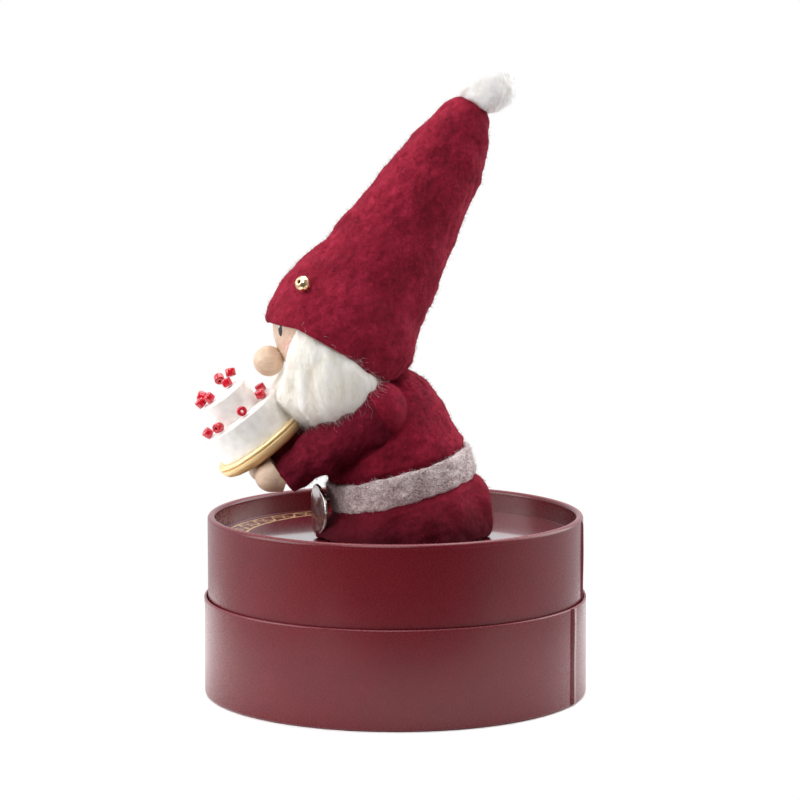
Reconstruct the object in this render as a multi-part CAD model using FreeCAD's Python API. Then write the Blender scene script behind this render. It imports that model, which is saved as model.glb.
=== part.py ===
import FreeCAD, Part
import math
import os

# Tomte gnome figurine of felt, wool and turned wood, standing in the recessed top of its
# round two-part board box. Millimetres. +Z is up, the origin is the centre of the box's
# floor, the figure faces -Y and its left side is +X. Each piece is written to parts/.

Vector = FreeCAD.Vector

# ---- round box -------------------------------------------------------------------------
box_radius = 55.0            # outer sleeve, over its paper
sleeve_height = 28.1
sleeve_board = 0.7
wrap_paper = 0.2
slip_gap = 0.2               # radial play between the two halves
base_board = 1.2
tube_board = 1.0
box_height = 51.4            # floor to the top of the rolled rim
rim_bead_radius = 1.1
disc_board = 1.0
disc_recess = 6.4            # rim top down to the disc that the figure stands on
disc_flange = 0.5
seam_gap = 0.6
sleeve_seam_angle = 55.8
tube_seam_angle = 70.5

# ---- assembly clearances ---------------------------------------------------------------
glue_gap = 0.05
cloth_gap = 0.3

# ---- coat and its core -----------------------------------------------------------------
felt = 1.5
figure_setback = 2.3         # centre of the hem behind the box's axis
skirt_height = 16.8          # hem to the middle of the belt
torso_height = 28.8          # middle of the belt to the neck edge
forward_bow = 9.25           # how far the neck edge stands in front of the belt's middle
coat_hem_radius = 24.4
coat_skirt_radius = 23.6
coat_tuck_radius = 21.4
coat_waist_radius = 19.6
coat_chest_radius = 18.4
coat_shoulder_radius = 15.8
coat_collar_radius = 11.5
coat_neck_radius = 8.0
waist_lean = 15.5            # degrees, as are all leans and tilts
neck_lean = 33.0
waist_level = 3              # the coat's level under the belt, counted up from the hem
shoulder_level = 6           # its level at the shoulders

# ---- belt and buckle -------------------------------------------------------------------
belt_width = 8.2
belt_thickness = 2.0
buckle_drop = 3.1            # buckle's centre below the belt's front
buckle_floor_gap = 0.4
buckle_thickness = 0.7
buckle_standoff = 3.4        # belt's front to the inside of the plate
buckle_turn = 9.0            # plate's face turned from the front towards the figure's left
buckle_shank_radius = 1.2
buckle_prong_radius = 0.5
buckle_prong_length = 3.0    # along the back of the plate, out past its edge
buckle_prong_tail = 1.2      # part of it that stands out past the edge

# ---- head ------------------------------------------------------------------------------
head_radius = 17.5
neck_standoff = 0.8
neck_dowel_radius = 3.0
neck_dowel_in_core = 10.0
neck_dowel_in_head = 8.0
nose_radius = 4.35
nose_seat = 0.58             # depth of the flat filed where the nose meets the head
nose_drop_angle = 27.9
nose_pin_radius = 0.9
nose_pin_in_nose = 2.6
nose_pin_in_head = 5.0

# ---- hat -------------------------------------------------------------------------------
hat_tilt = 29.6
hat_ease = 0.2               # play between the head and the felt at the face
hat_length = 83.3
hat_start = 9.4              # lowest station of the cone below the head's centre
hat_shift = 2.3              # axis of the cone behind the head's centre
brim_drop = 3.4              # brim plane below the head's centre, along the hat's axis
brim_slope = 11.0
pompom_radius = 8.7
pompom_sink = 1.6
pompom_setback = 2.4
hat_bead_radius = 2.3
hat_bead_hole = 0.5
hat_bead_station = 15.5      # above the lowest station, along the hat's axis
hat_bead_turn = 38.0         # from the front towards the figure's left

# ---- beard -----------------------------------------------------------------------------
beard_overhang = 2.6         # half width beyond the head's radius
beard_depth = 16.2
beard_height = 14.6
beard_forward = 2.9
beard_drop = 12.95
face_top_setback = 10.8      # face opening: its upper end behind the head's front
face_bottom_drop = 12.5      # its lower end below the head's centre

# ---- arms ------------------------------------------------------------------------------
arm_overhang = 5.9           # sleeve's side outside the coat's shoulder radius
shoulder_rise = 9.0          # sleeve's top above the coat's shoulder level
shoulder_forward = 4.0
arm_forward = 25.0
arm_down = 19.0
hand_spread = 9.0
sleeve_shoulder_radius = 9.2
sleeve_wrist_radius = 4.7
sleeve_felt = 1.4
spigot_radius = 1.5
spigot_length = 4.0
shoulder_roundness = 0.95    # round top of the sleeve over the sleeve's own radius
hand_radius = 4.8
hand_heel_inset = 0.5
hand_reach = 3.8
hand_rise = 0.8

# ---- plate, cake and berries -----------------------------------------------------------
plate_tilt = 37.0
plate_radius = 14.25
plate_thickness = 4.2
plate_lip = 0.8
plate_groove = 0.5
plate_flat = 0.55            # depth of the flat that the plate sits in on each hand
plate_setback = 3.5
lower_tier_radius = 12.25
lower_tier_height = 9.0
upper_tier_radius = 6.95
upper_tier_height = 7.4
tier_edge = 0.7
berry_radius = 1.45
berry_length = 2.3
berry_hole = 0.4

# ---- places worked out from the sizes above --------------------------------------------
sleeve_bore = box_radius - wrap_paper - sleeve_board
tube_wrap_radius = sleeve_bore - slip_gap
tube_radius = tube_wrap_radius - wrap_paper
tube_bore = tube_radius - tube_board
bead_centre_radius = tube_wrap_radius - rim_bead_radius
bead_centre_height = box_height - rim_bead_radius
disc_top = box_height - disc_recess
waist_top = disc_top + skirt_height


def lean(degrees):
    """Unit vector that leans forward from +Z, towards -Y."""
    turn = math.radians(degrees)
    return Vector(0, -math.sin(turn), math.cos(turn))


def lean_back(degrees):
    """Unit vector across a section that leans forward, towards the figure's back."""
    turn = math.radians(degrees)
    return Vector(0, math.cos(turn), math.sin(turn))


def circle(centre, axis, radius):
    return Part.Wire(Part.makeCircle(radius, centre, axis))


def ring(inner, outer, bottom, top):
    """Upright tube between two heights."""
    body = Part.makeCylinder(outer, top - bottom, Vector(0, 0, bottom))
    return body.cut(Part.makeCylinder(inner, top - bottom, Vector(0, 0, bottom)))


def rod(start, axis, radius, length):
    return Part.makeCylinder(radius, length, start, axis)


def beyond(point, axis):
    """Everything on the axis's side of a plane, as far as the object reaches."""
    return rod(point, axis, 3 * box_radius, 3 * box_radius)


def write(node, shape):
    """Checks a node's solids and saves them."""
    solids = shape.Solids
    if not solids:
        raise ValueError(node + " has no solid")
    for solid in solids:
        if not solid.isValid() or solid.Volume <= 0:
            raise ValueError(node + " has a faulty solid")
    body = solids[0] if len(solids) == 1 else Part.Compound(solids)
    body.exportStep("parts/" + node + ".step")
    print(node, len(solids), round(sum(solid.Volume for solid in solids), 1))


# ---- round box -------------------------------------------------------------------------
def slit_ring(inner, outer, bottom, top, angle):
    """Paper wrapped round a tube, with a narrow gap where its ends meet."""
    height = top - bottom
    slot = Part.makeBox(4 * (outer - inner), seam_gap, height)
    slot.translate(Vector(inner - (outer - inner), -seam_gap / 2, bottom))
    slot.rotate(Vector(0, 0, 0), Vector(0, 0, 1), angle)
    return ring(inner, outer, bottom, top).cut(slot)


def make_box():
    tube_wall = ring(tube_bore, tube_radius, base_board, bead_centre_height)
    bead = Part.makeTorus(bead_centre_radius, rim_bead_radius, Vector(0, 0, bead_centre_height))
    bead_bulge = tube_radius - bead_centre_radius
    wrap_top = bead_centre_height - math.sqrt(rim_bead_radius ** 2 - bead_bulge ** 2) - glue_gap
    disc_radius = tube_bore - glue_gap
    flange_top = bead_centre_height - rim_bead_radius - glue_gap
    disc = Part.makeCylinder(disc_radius, disc_board, Vector(0, 0, disc_top - disc_board))
    flange = ring(disc_radius - disc_flange, disc_radius, disc_top - disc_board, flange_top)
    write("outer_sleeve_board", ring(sleeve_bore, sleeve_bore + sleeve_board, 0, sleeve_height))
    write("outer_sleeve_paper", slit_ring(sleeve_bore + sleeve_board, box_radius, 0,
                                          sleeve_height, sleeve_seam_angle))
    write("base_disc", Part.makeCylinder(sleeve_bore - glue_gap, base_board))
    write("inner_tube_board", tube_wall.fuse(bead).removeSplitter())
    write("inner_tube_paper", slit_ring(tube_radius, tube_wrap_radius, base_board, wrap_top,
                                        tube_seam_angle))
    write("top_disc", disc.fuse(flange).removeSplitter())


# ---- coat ------------------------------------------------------------------------------
def coat_sections():
    """Centre, lean and radius of each level of the coat, hem first.

    Below the belt a level is given by its share of the skirt's height and how far it
    stands behind the hem's centre, above it by its share of the torso and of the bow.
    """
    waist_offset = -0.65
    skirt = ((0.0, 0.0, 0.0, coat_hem_radius), (0.39, 1.1, 0.52, coat_skirt_radius),
             (0.67, 0.6, 0.88, coat_tuck_radius), (1.0, waist_offset, 1.0, coat_waist_radius))
    torso = ((0.2, 0.16, 17.0, coat_waist_radius), (0.46, 0.36, 19.0, coat_chest_radius),
             (0.735, 0.61, 22.0, coat_shoulder_radius), (0.92, 0.85, 27.0, coat_collar_radius),
             (1.0, 1.0, neck_lean, coat_neck_radius))
    levels = []
    for share, offset, lean_share, radius in skirt:
        centre = Vector(0, figure_setback + offset, disc_top + share * skirt_height)
        levels.append((centre, lean_share * waist_lean, radius))
    for share, bow, degrees, radius in torso:
        forward = waist_offset - bow * forward_bow
        centre = Vector(0, figure_setback + forward, waist_top + share * torso_height)
        levels.append((centre, degrees, radius))
    return levels


def coat_solid(offset):
    """Coat's outline as one filled solid, moved out by an offset."""
    return Part.makeLoft([circle(centre, lean(degrees), radius + offset)
                          for centre, degrees, radius in coat_sections()], True, False)


def neck():
    """Neck edge's centre and the direction in which the head stands off it."""
    centre, degrees, radius = coat_sections()[-1]
    return centre, lean(degrees)


def make_body():
    neck_centre, neck_axis = neck()
    dowel_start = neck_centre - neck_axis * (neck_dowel_in_core + neck_core_gap())
    dowel_length = neck_dowel_in_core + neck_core_gap() + neck_standoff + neck_dowel_in_head
    bore = rod(dowel_start, neck_axis, neck_dowel_radius + glue_gap, dowel_length)
    core_top, core_lean, _ = coat_sections()[-2]
    core = coat_solid(-felt - cloth_gap).cut(beyond(core_top, lean(core_lean))).cut(bore)
    write("coat", coat_solid(0).cut(coat_solid(-felt)))
    write("body_core", core)
    write("neck_dowel", rod(dowel_start, neck_axis, neck_dowel_radius, dowel_length))


def neck_core_gap():
    """Distance from the core's top level to the neck edge."""
    levels = coat_sections()
    return (levels[-1][0] - levels[-2][0]).Length


# ---- belt and buckle -------------------------------------------------------------------
def belt_front():
    """Middle of the belt's outside at the front."""
    centre, degrees, radius = coat_sections()[waist_level]
    return centre - lean_back(degrees) * (radius + belt_thickness)


def make_belt():
    centre, degrees, radius = coat_sections()[waist_level]
    start = centre - lean(degrees) * (belt_width / 2)
    band = rod(start, lean(degrees), radius + belt_thickness, belt_width)
    write("belt", band.cut(coat_solid(glue_gap)))
    make_buckle(band)


def make_buckle(band):
    """Round metal plate held in front of the belt by its shank, with one prong."""
    front = belt_front()
    height = front.z - buckle_drop
    radius = height - disc_top - buckle_floor_gap
    turn = math.radians(buckle_turn)
    facing = Vector(math.sin(turn), -math.cos(turn), 0)
    sideways = Vector(math.cos(turn), math.sin(turn), 0)
    back = Vector(0, front.y - buckle_standoff, height)
    shank = rod(Vector(0, front.y + belt_thickness, front.z), Vector(0, -1, 0),
                buckle_shank_radius, belt_thickness + 2 * buckle_standoff)
    shank = shank.cut(band.fuse(coat_solid(glue_gap))).cut(beyond(back, facing))
    prong_end = back + sideways * (radius + buckle_prong_tail)
    prong_end = prong_end - facing * (buckle_prong_radius + glue_gap)
    write("buckle_plate", rod(back, facing, radius, buckle_thickness))
    write("buckle_shank", shank)
    write("buckle_prong", rod(prong_end, sideways * -1, buckle_prong_radius,
                              buckle_prong_length))


# ---- head ------------------------------------------------------------------------------
def head_centre():
    neck_centre, neck_axis = neck()
    return neck_centre + neck_axis * (head_radius + neck_standoff)


def nose_axis():
    turn = math.radians(nose_drop_angle)
    return Vector(0, -math.cos(turn), -math.sin(turn))


def nose_centre():
    return head_centre() + nose_axis() * (head_radius + nose_radius - nose_seat)


def head_ball(offset):
    return Part.makeSphere(head_radius + offset, head_centre())


def make_head():
    neck_centre, neck_axis = neck()
    pin_start = head_centre() + nose_axis() * (head_radius - nose_pin_in_head)
    pin_length = nose_pin_in_head + nose_pin_in_nose
    pin_bore = rod(pin_start, nose_axis(), nose_pin_radius + glue_gap, pin_length)
    neck_bore = rod(neck_centre, neck_axis, neck_dowel_radius + glue_gap,
                    neck_standoff + neck_dowel_in_head)
    write("head", head_ball(0).cut(neck_bore).cut(pin_bore))
    nose = Part.makeSphere(nose_radius, nose_centre())
    write("nose", nose.cut(head_ball(glue_gap)).cut(pin_bore))
    write("nose_pin", rod(pin_start, nose_axis(), nose_pin_radius, pin_length))


# ---- hat -------------------------------------------------------------------------------
# Each station: its share of the hat's length and its radius over the brim's.
HAT_OUTLINE = ((0.0, 1.0), (0.162, 0.97), (0.27, 0.85), (0.384, 0.775), (0.576, 0.68),
               (0.756, 0.575), (0.895, 0.434), (0.965, 0.315), (1.0, 0.22))


def hat_axis():
    turn = math.radians(hat_tilt)
    return Vector(0, math.sin(turn), math.cos(turn))


def hat_across():
    """Across the hat, towards its back."""
    turn = math.radians(hat_tilt)
    return Vector(0, math.cos(turn), -math.sin(turn))


def hat_width(share):
    """Radius over the brim's at a share of the hat's length, below its crown."""
    low, high = HAT_OUTLINE[0:2]
    if share > high[0]:
        low, high = HAT_OUTLINE[1:3]
    return low[1] + (high[1] - low[1]) * (share - low[0]) / (high[0] - low[0])


def brim_radius():
    """The felt clears the face at the level of the head's centre, where it is widest."""
    return (head_radius + hat_shift + hat_ease + felt) / hat_width(hat_start / hat_length)


def hat_base():
    return head_centre() - hat_axis() * hat_start + hat_across() * hat_shift


def hat_station(share):
    """Point on the hat's axis at a share of its length."""
    return hat_base() + hat_axis() * (share * hat_length)


def hat_solid(offset):
    """Hat's cone as one filled solid, moved out by an offset."""
    return Part.makeLoft([circle(hat_station(share), hat_axis(), brim_radius() * width + offset)
                          for share, width in HAT_OUTLINE], True, False)


def below_brim():
    """Everything under the brim's plane, which dips towards the face."""
    turn = math.radians(hat_tilt - brim_slope)
    centre = head_centre() - hat_axis() * brim_drop + hat_across() * hat_shift
    return beyond(centre, Vector(0, -math.sin(turn), -math.cos(turn)))


def hat_bead_centre():
    turn = math.radians(hat_bead_turn)
    radius = brim_radius() * hat_width(hat_bead_station / hat_length) + hat_bead_radius
    outward = Vector(math.sin(turn), 0, 0) - hat_across() * math.cos(turn)
    centre = hat_base() + hat_axis() * hat_bead_station
    return centre + outward * radius, outward


def make_hat():
    cavity_end = beyond(hat_station(HAT_OUTLINE[-2][0]), hat_axis())
    wadding_end = beyond(hat_station(HAT_OUTLINE[-2][0]) - hat_axis() * cloth_gap, hat_axis())
    wadding_start = beyond(hat_station(HAT_OUTLINE[2][0]), hat_axis() * -1)
    write("hat", hat_solid(0).cut(hat_solid(-felt).cut(cavity_end)).cut(below_brim()))
    wadding = hat_solid(-felt - cloth_gap).cut(wadding_start).cut(wadding_end)
    write("hat_wadding", wadding.cut(head_ball(cloth_gap)))
    tip = hat_base() + hat_axis() * hat_length
    pompom_centre = tip + hat_axis() * (pompom_radius - pompom_sink)
    pompom_centre = pompom_centre + hat_across() * pompom_setback
    pompom = Part.makeSphere(pompom_radius, pompom_centre)
    write("pompom", pompom.cut(hat_solid(glue_gap)))
    centre, outward = hat_bead_centre()
    bead = Part.makeSphere(hat_bead_radius, centre)
    hole = rod(centre - outward * (2 * hat_bead_radius), outward, hat_bead_hole,
               4 * hat_bead_radius)
    write("hat_bead", bead.cut(hole).cut(hat_solid(glue_gap)))


# ---- arms and hands --------------------------------------------------------------------
def shoulder(side):
    centre, degrees, radius = coat_sections()[shoulder_level]
    out = radius + arm_overhang - sleeve_shoulder_radius
    return centre + Vector(side * out, -shoulder_forward, shoulder_rise - sleeve_shoulder_radius)


def wrist(side):
    start = shoulder(side)
    return Vector(side * hand_spread, start.y - arm_forward, start.z - arm_down)


def hand_centre(side):
    return wrist(side) + Vector(0, -hand_reach, hand_rise)


def arm_solid(side, offset, overrun):
    """Tapered arm from a round shoulder to the wrist, moved out by an offset."""
    start = shoulder(side)
    run = wrist(side) - start
    axis = run * (1 / run.Length)
    cone = Part.makeCone(sleeve_shoulder_radius + offset, sleeve_wrist_radius + offset,
                         run.Length, start, axis)
    cap = Part.makeSphere((sleeve_shoulder_radius + offset) * shoulder_roundness, start)
    body = cone.fuse(cap)
    if overrun:
        body = body.fuse(rod(wrist(side), axis, sleeve_wrist_radius + offset, overrun))
    return body


def make_arm(side, name):
    run = wrist(side) - shoulder(side)
    axis = run * (1 / run.Length)
    coat = coat_solid(glue_gap)
    bore = rod(wrist(side), axis, spigot_radius + glue_gap, spigot_length)
    spigot = rod(wrist(side) - axis * spigot_length, axis, spigot_radius, 2 * spigot_length)
    sleeve = arm_solid(side, 0, 0).cut(arm_solid(side, -sleeve_felt, sleeve_felt))
    core = arm_solid(side, -sleeve_felt - cloth_gap / 2, 0).fuse(spigot)
    centre = hand_centre(side)
    reach = centre - wrist(side)
    heel = Part.makeCone(sleeve_wrist_radius - hand_heel_inset, hand_radius - glue_gap, reach.Length,
                         wrist(side), reach)
    cuff_side = Part.makeCylinder(4 * hand_radius, 4 * hand_radius,
                                  wrist(side) + axis * glue_gap, axis * -1)
    hand = Part.makeSphere(hand_radius, centre).fuse(heel)
    hand = hand.cut(cuff_side).cut(bore).cut(plate_solid(glue_gap))
    write("sleeve_" + name, sleeve.cut(coat))
    write("arm_core_" + name, core.cut(coat))
    write("hand_" + name, hand)


# ---- plate, cake and berries -----------------------------------------------------------
def plate_axis():
    return lean(plate_tilt)


def plate_bottom():
    """Centre of the plate's underside, over the flats on both hands."""
    centre = hand_centre(1)
    centre = Vector(0, centre.y, centre.z)
    rise = plate_axis() * (hand_radius - plate_flat)
    return centre + rise + lean_back(plate_tilt) * plate_setback


def plate_solid(offset):
    """Plate's outline without its groove, moved out by an offset."""
    start = plate_bottom() - plate_axis() * offset
    return rod(start, plate_axis(), plate_radius + offset, plate_thickness + 2 * offset)


def turned(points, start, axis):
    """Solid turned from (radius, height) points, standing on a start along an axis."""
    corners = [Vector(radius, 0, height) for radius, height in points]
    face = Part.Face(Part.makePolygon(corners + corners[:1]))
    body = face.revolve(Vector(0, 0, 0), Vector(0, 0, 1), 360)
    body.Placement = FreeCAD.Placement(start, FreeCAD.Rotation(Vector(0, 0, 1), axis))
    return body


def make_plate():
    lip_bottom = plate_thickness - plate_lip
    chamfer = plate_thickness / 4
    points = ((0, 0), (plate_radius - 2 * chamfer, 0), (plate_radius - chamfer / 3, chamfer),
              (plate_radius, 2 * chamfer), (plate_radius, lip_bottom - plate_groove),
              (plate_radius - plate_groove, lip_bottom - plate_groove),
              (plate_radius - plate_groove, lip_bottom), (plate_radius, lip_bottom),
              (plate_radius, plate_thickness), (0, plate_thickness))
    write("plate", turned(points, plate_bottom(), plate_axis()))


def make_tier(node, radius, height, start):
    points = ((0, 0), (radius, 0), (radius, height - tier_edge),
              (radius - tier_edge / 3, height - tier_edge / 3), (radius - tier_edge, height),
              (0, height))
    write(node, turned(points, start, plate_axis()))


def make_berries(node, places, surface):
    """Short drilled beads on a tier: each place is an angle, a radius, a lift and a tilt."""
    beads = []
    for angle, radius, lift, tilt in places:
        turn = math.radians(angle)
        across = Vector(radius * math.cos(turn), 0, 0)
        across = across + lean_back(plate_tilt) * (radius * math.sin(turn))
        centre = surface + across + plate_axis() * (lift + berry_radius)
        flat = Vector(math.cos(turn), 0, 0) + lean_back(plate_tilt) * math.sin(turn)
        axis = plate_axis() * math.cos(math.radians(tilt)) + flat * math.sin(math.radians(tilt))
        start = centre - axis * (berry_length / 2)
        bead = rod(start, axis, berry_radius, berry_length)
        beads.append(bead.cut(rod(start, axis, berry_hole, berry_length)))
    write(node, Part.Compound(beads))


def make_cake():
    axis = plate_axis()
    plate_top = plate_bottom() + axis * plate_thickness
    ledge = plate_top + axis * lower_tier_height
    top = ledge + axis * upper_tier_height
    rim = upper_tier_radius - berry_radius
    track = (upper_tier_radius + lower_tier_radius) / 2
    make_tier("cake_lower_tier", lower_tier_radius, lower_tier_height, plate_top)
    make_tier("cake_upper_tier", upper_tier_radius, upper_tier_height, ledge)
    make_berries("berries_top", ((120, rim + 0.6, 1.5, 30), (162, rim - 0.2, 1.7, 60),
                                 (121, rim - 2.4, 0.1, 10), (-123, rim + 0.8, 1.0, 40),
                                 (-74, rim - 1.4, 0.1, 15), (-96, rim + 1.3, 0.1, 10)), top)
    make_berries("berries_ledge", ((108, track + 0.2, 0.1, 8), (57, track, 0.1, 12),
                                   (5, track + 1.0, 0.3, 80), (-41, track + 1.2, 0.3, 75),
                                   (-72, track + 1.3, 0.1, 20)), ledge)


def cake_solid(offset):
    """Plate and both tiers as one outline, moved out by an offset."""
    axis = plate_axis()
    plate_top = plate_bottom() + axis * plate_thickness
    ledge = plate_top + axis * lower_tier_height
    lower = rod(plate_top, axis, lower_tier_radius + offset, lower_tier_height + offset)
    upper = rod(ledge, axis, upper_tier_radius + offset, upper_tier_height + offset)
    return plate_solid(offset).fuse([lower, upper])


# ---- beard -----------------------------------------------------------------------------
def face_opening():
    """Space in front of a line from the brim down to the mouth, where the face shows."""
    centre = head_centre()
    top = Vector(0, centre.y - head_radius + face_top_setback, centre.z + head_radius / 2)
    bottom = Vector(0, centre.y - head_radius, centre.z - face_bottom_drop)
    run = top - bottom
    side = 4 * head_radius
    block = Part.makeBox(side, side, side, Vector(-side / 2, -side, 0))
    block.rotate(Vector(0, 0, 0), Vector(1, 0, 0), math.degrees(math.atan2(-run.y, run.z)))
    block.translate(bottom)
    return block


def make_beard():
    centre = head_centre() + Vector(0, -beard_forward, -beard_drop)
    stretch = FreeCAD.Matrix()
    stretch.scale(head_radius + beard_overhang, beard_depth, beard_height)
    fleece = Part.makeSphere(1).transformGeometry(stretch)
    fleece.translate(centre)
    for neighbour in (head_ball(cloth_gap), Part.makeSphere(nose_radius + cloth_gap, nose_centre()),
                      hat_solid(cloth_gap), coat_solid(cloth_gap), cake_solid(cloth_gap),
                      arm_solid(1, cloth_gap, 0), arm_solid(-1, cloth_gap, 0), face_opening(),
                      neck_clearance()):
        fleece = fleece.cut(neighbour)
    write("beard", fleece)


def neck_clearance():
    neck_centre, neck_axis = neck()
    start = neck_centre - neck_axis * cloth_gap
    return rod(start, neck_axis, coat_neck_radius + cloth_gap, head_radius / 2)


os.makedirs("parts", exist_ok=True)
make_box()
make_body()
make_belt()
make_head()
make_hat()
for side, name in ((1, "left"), (-1, "right")):
    make_arm(side, name)
make_plate()
make_cake()
make_beard()
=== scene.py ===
"""Looks of a felt gnome who carries a cake, standing on its round two-part board box.

Every sub-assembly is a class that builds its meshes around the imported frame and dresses
them. Sizes are millimetres; meshes are handed to Blender in metres.
"""
from __future__ import annotations

import logging
import math
from dataclasses import dataclass
from enum import Enum

import bpy
import numpy as np
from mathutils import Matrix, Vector
from mathutils.bvhtree import BVHTree


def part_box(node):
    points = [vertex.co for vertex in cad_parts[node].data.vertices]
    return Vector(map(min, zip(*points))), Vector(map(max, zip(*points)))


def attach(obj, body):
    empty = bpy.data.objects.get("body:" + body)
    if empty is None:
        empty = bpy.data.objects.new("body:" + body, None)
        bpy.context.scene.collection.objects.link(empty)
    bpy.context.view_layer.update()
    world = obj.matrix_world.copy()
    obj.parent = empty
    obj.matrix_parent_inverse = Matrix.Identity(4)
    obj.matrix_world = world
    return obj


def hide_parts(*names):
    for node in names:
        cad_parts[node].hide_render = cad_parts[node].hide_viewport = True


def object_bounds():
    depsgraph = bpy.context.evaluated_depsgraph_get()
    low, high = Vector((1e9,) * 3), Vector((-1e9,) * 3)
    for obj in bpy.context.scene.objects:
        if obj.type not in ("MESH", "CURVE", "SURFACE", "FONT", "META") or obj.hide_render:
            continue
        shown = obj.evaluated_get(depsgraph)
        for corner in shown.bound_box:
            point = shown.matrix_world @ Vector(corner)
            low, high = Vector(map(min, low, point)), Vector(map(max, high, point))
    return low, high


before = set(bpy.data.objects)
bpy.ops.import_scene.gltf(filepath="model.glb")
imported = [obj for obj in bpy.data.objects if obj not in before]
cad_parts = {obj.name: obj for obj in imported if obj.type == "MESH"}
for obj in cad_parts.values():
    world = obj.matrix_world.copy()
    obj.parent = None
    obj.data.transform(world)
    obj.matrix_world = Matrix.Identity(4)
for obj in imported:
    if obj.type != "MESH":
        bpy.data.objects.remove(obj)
cad_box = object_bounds()

Array = np.ndarray
Material = bpy.types.Material

MM = 0.001
UPWARD = np.array([0.0, 0.0, 1.0])
LEFTWARD = np.array([1.0, 0.0, 0.0])
log = logging.getLogger("tomte")


class Body(Enum):
    """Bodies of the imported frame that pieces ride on."""

    OUTER_BOX = "outer_box"
    INNER_BOX = "inner_box"
    FIGURE = "figure"


class Side(Enum):
    """The figure's own sides, as the sign of X."""

    LEFT = 1
    RIGHT = -1

    @property
    def word(self) -> str:
        """The side as it is written in the names of pieces."""
        return self.name.lower()


# ---- colour and shader nodes ----
def linear(colour: str) -> tuple[float, float, float, float]:
    """Turns an sRGB hex colour into linear RGBA.

    Args:
        colour: six hex digits, with or without a leading hash.

    Returns:
        Linear red, green, blue and an alpha of one.
    """
    digits = colour.lstrip("#")
    values = [int(digits[i:i + 2], 16) / 255 for i in (0, 2, 4)]
    red, green, blue = (value / 12.92 if value <= 0.04045 else ((value + 0.055) / 1.055) ** 2.4
                        for value in values)
    return red, green, blue, 1.0


def per_metre(size_mm: float) -> float:
    """Texture scale at which one feature spans the given millimetres."""
    return 1000.0 / size_mm


def add_node(tree: bpy.types.NodeTree, kind: str, inputs: dict | None = None,
             stops: list[tuple[float, str]] | None = None, **settings: object) -> bpy.types.Node:
    """Adds one node with its settings and links.

    Args:
        tree: node tree to add to.
        kind: Blender's type name of the node, without its "ShaderNode".
        inputs: socket name or index to a value, to an output to link, or to a node, whose
            first output is linked.
        stops: positions and hex colours of a colour ramp.
        **settings: attributes to set on the node.

    Returns:
        The new node.
    """
    node = tree.nodes.new("ShaderNode" + kind)
    for name, value in settings.items():
        setattr(node, name, value)
    if stops:
        elements = node.color_ramp.elements
        while len(elements) < len(stops):
            elements.new(0.5)
        for element, (position, colour) in zip(elements, stops):
            element.position = position
            element.color = linear(colour)
    for key, value in (inputs or {}).items():
        if isinstance(value, bpy.types.Node):
            value = value.outputs[0]
        if isinstance(value, bpy.types.NodeSocket):
            tree.links.new(value, node.inputs[key])
        else:
            node.inputs[key].default_value = value
    return node


@dataclass(frozen=True)
class Finish:
    """What all finishes share: a name, and how they start and close a material."""

    name: str

    def start(self) -> tuple[bpy.types.NodeTree, bpy.types.NodeSocket]:
        """Makes an empty material.

        Returns:
            Its node tree and the object coordinates to paint by.
        """
        material = bpy.data.materials.new(self.name)
        material.use_nodes = True
        material.node_tree.nodes.clear()
        place = add_node(material.node_tree, "TexCoord")
        return material.node_tree, place.outputs["Object"]

    def close(self, tree: bpy.types.NodeTree, shader: dict) -> Material:
        """Adds the principled shader and the output.

        Args:
            tree: the material's node tree.
            shader: inputs of the principled shader.

        Returns:
            The finished material.
        """
        surface = add_node(tree, "BsdfPrincipled", shader)
        add_node(tree, "OutputMaterial", {"Surface": surface})
        return bpy.data.materials[self.name]


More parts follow.
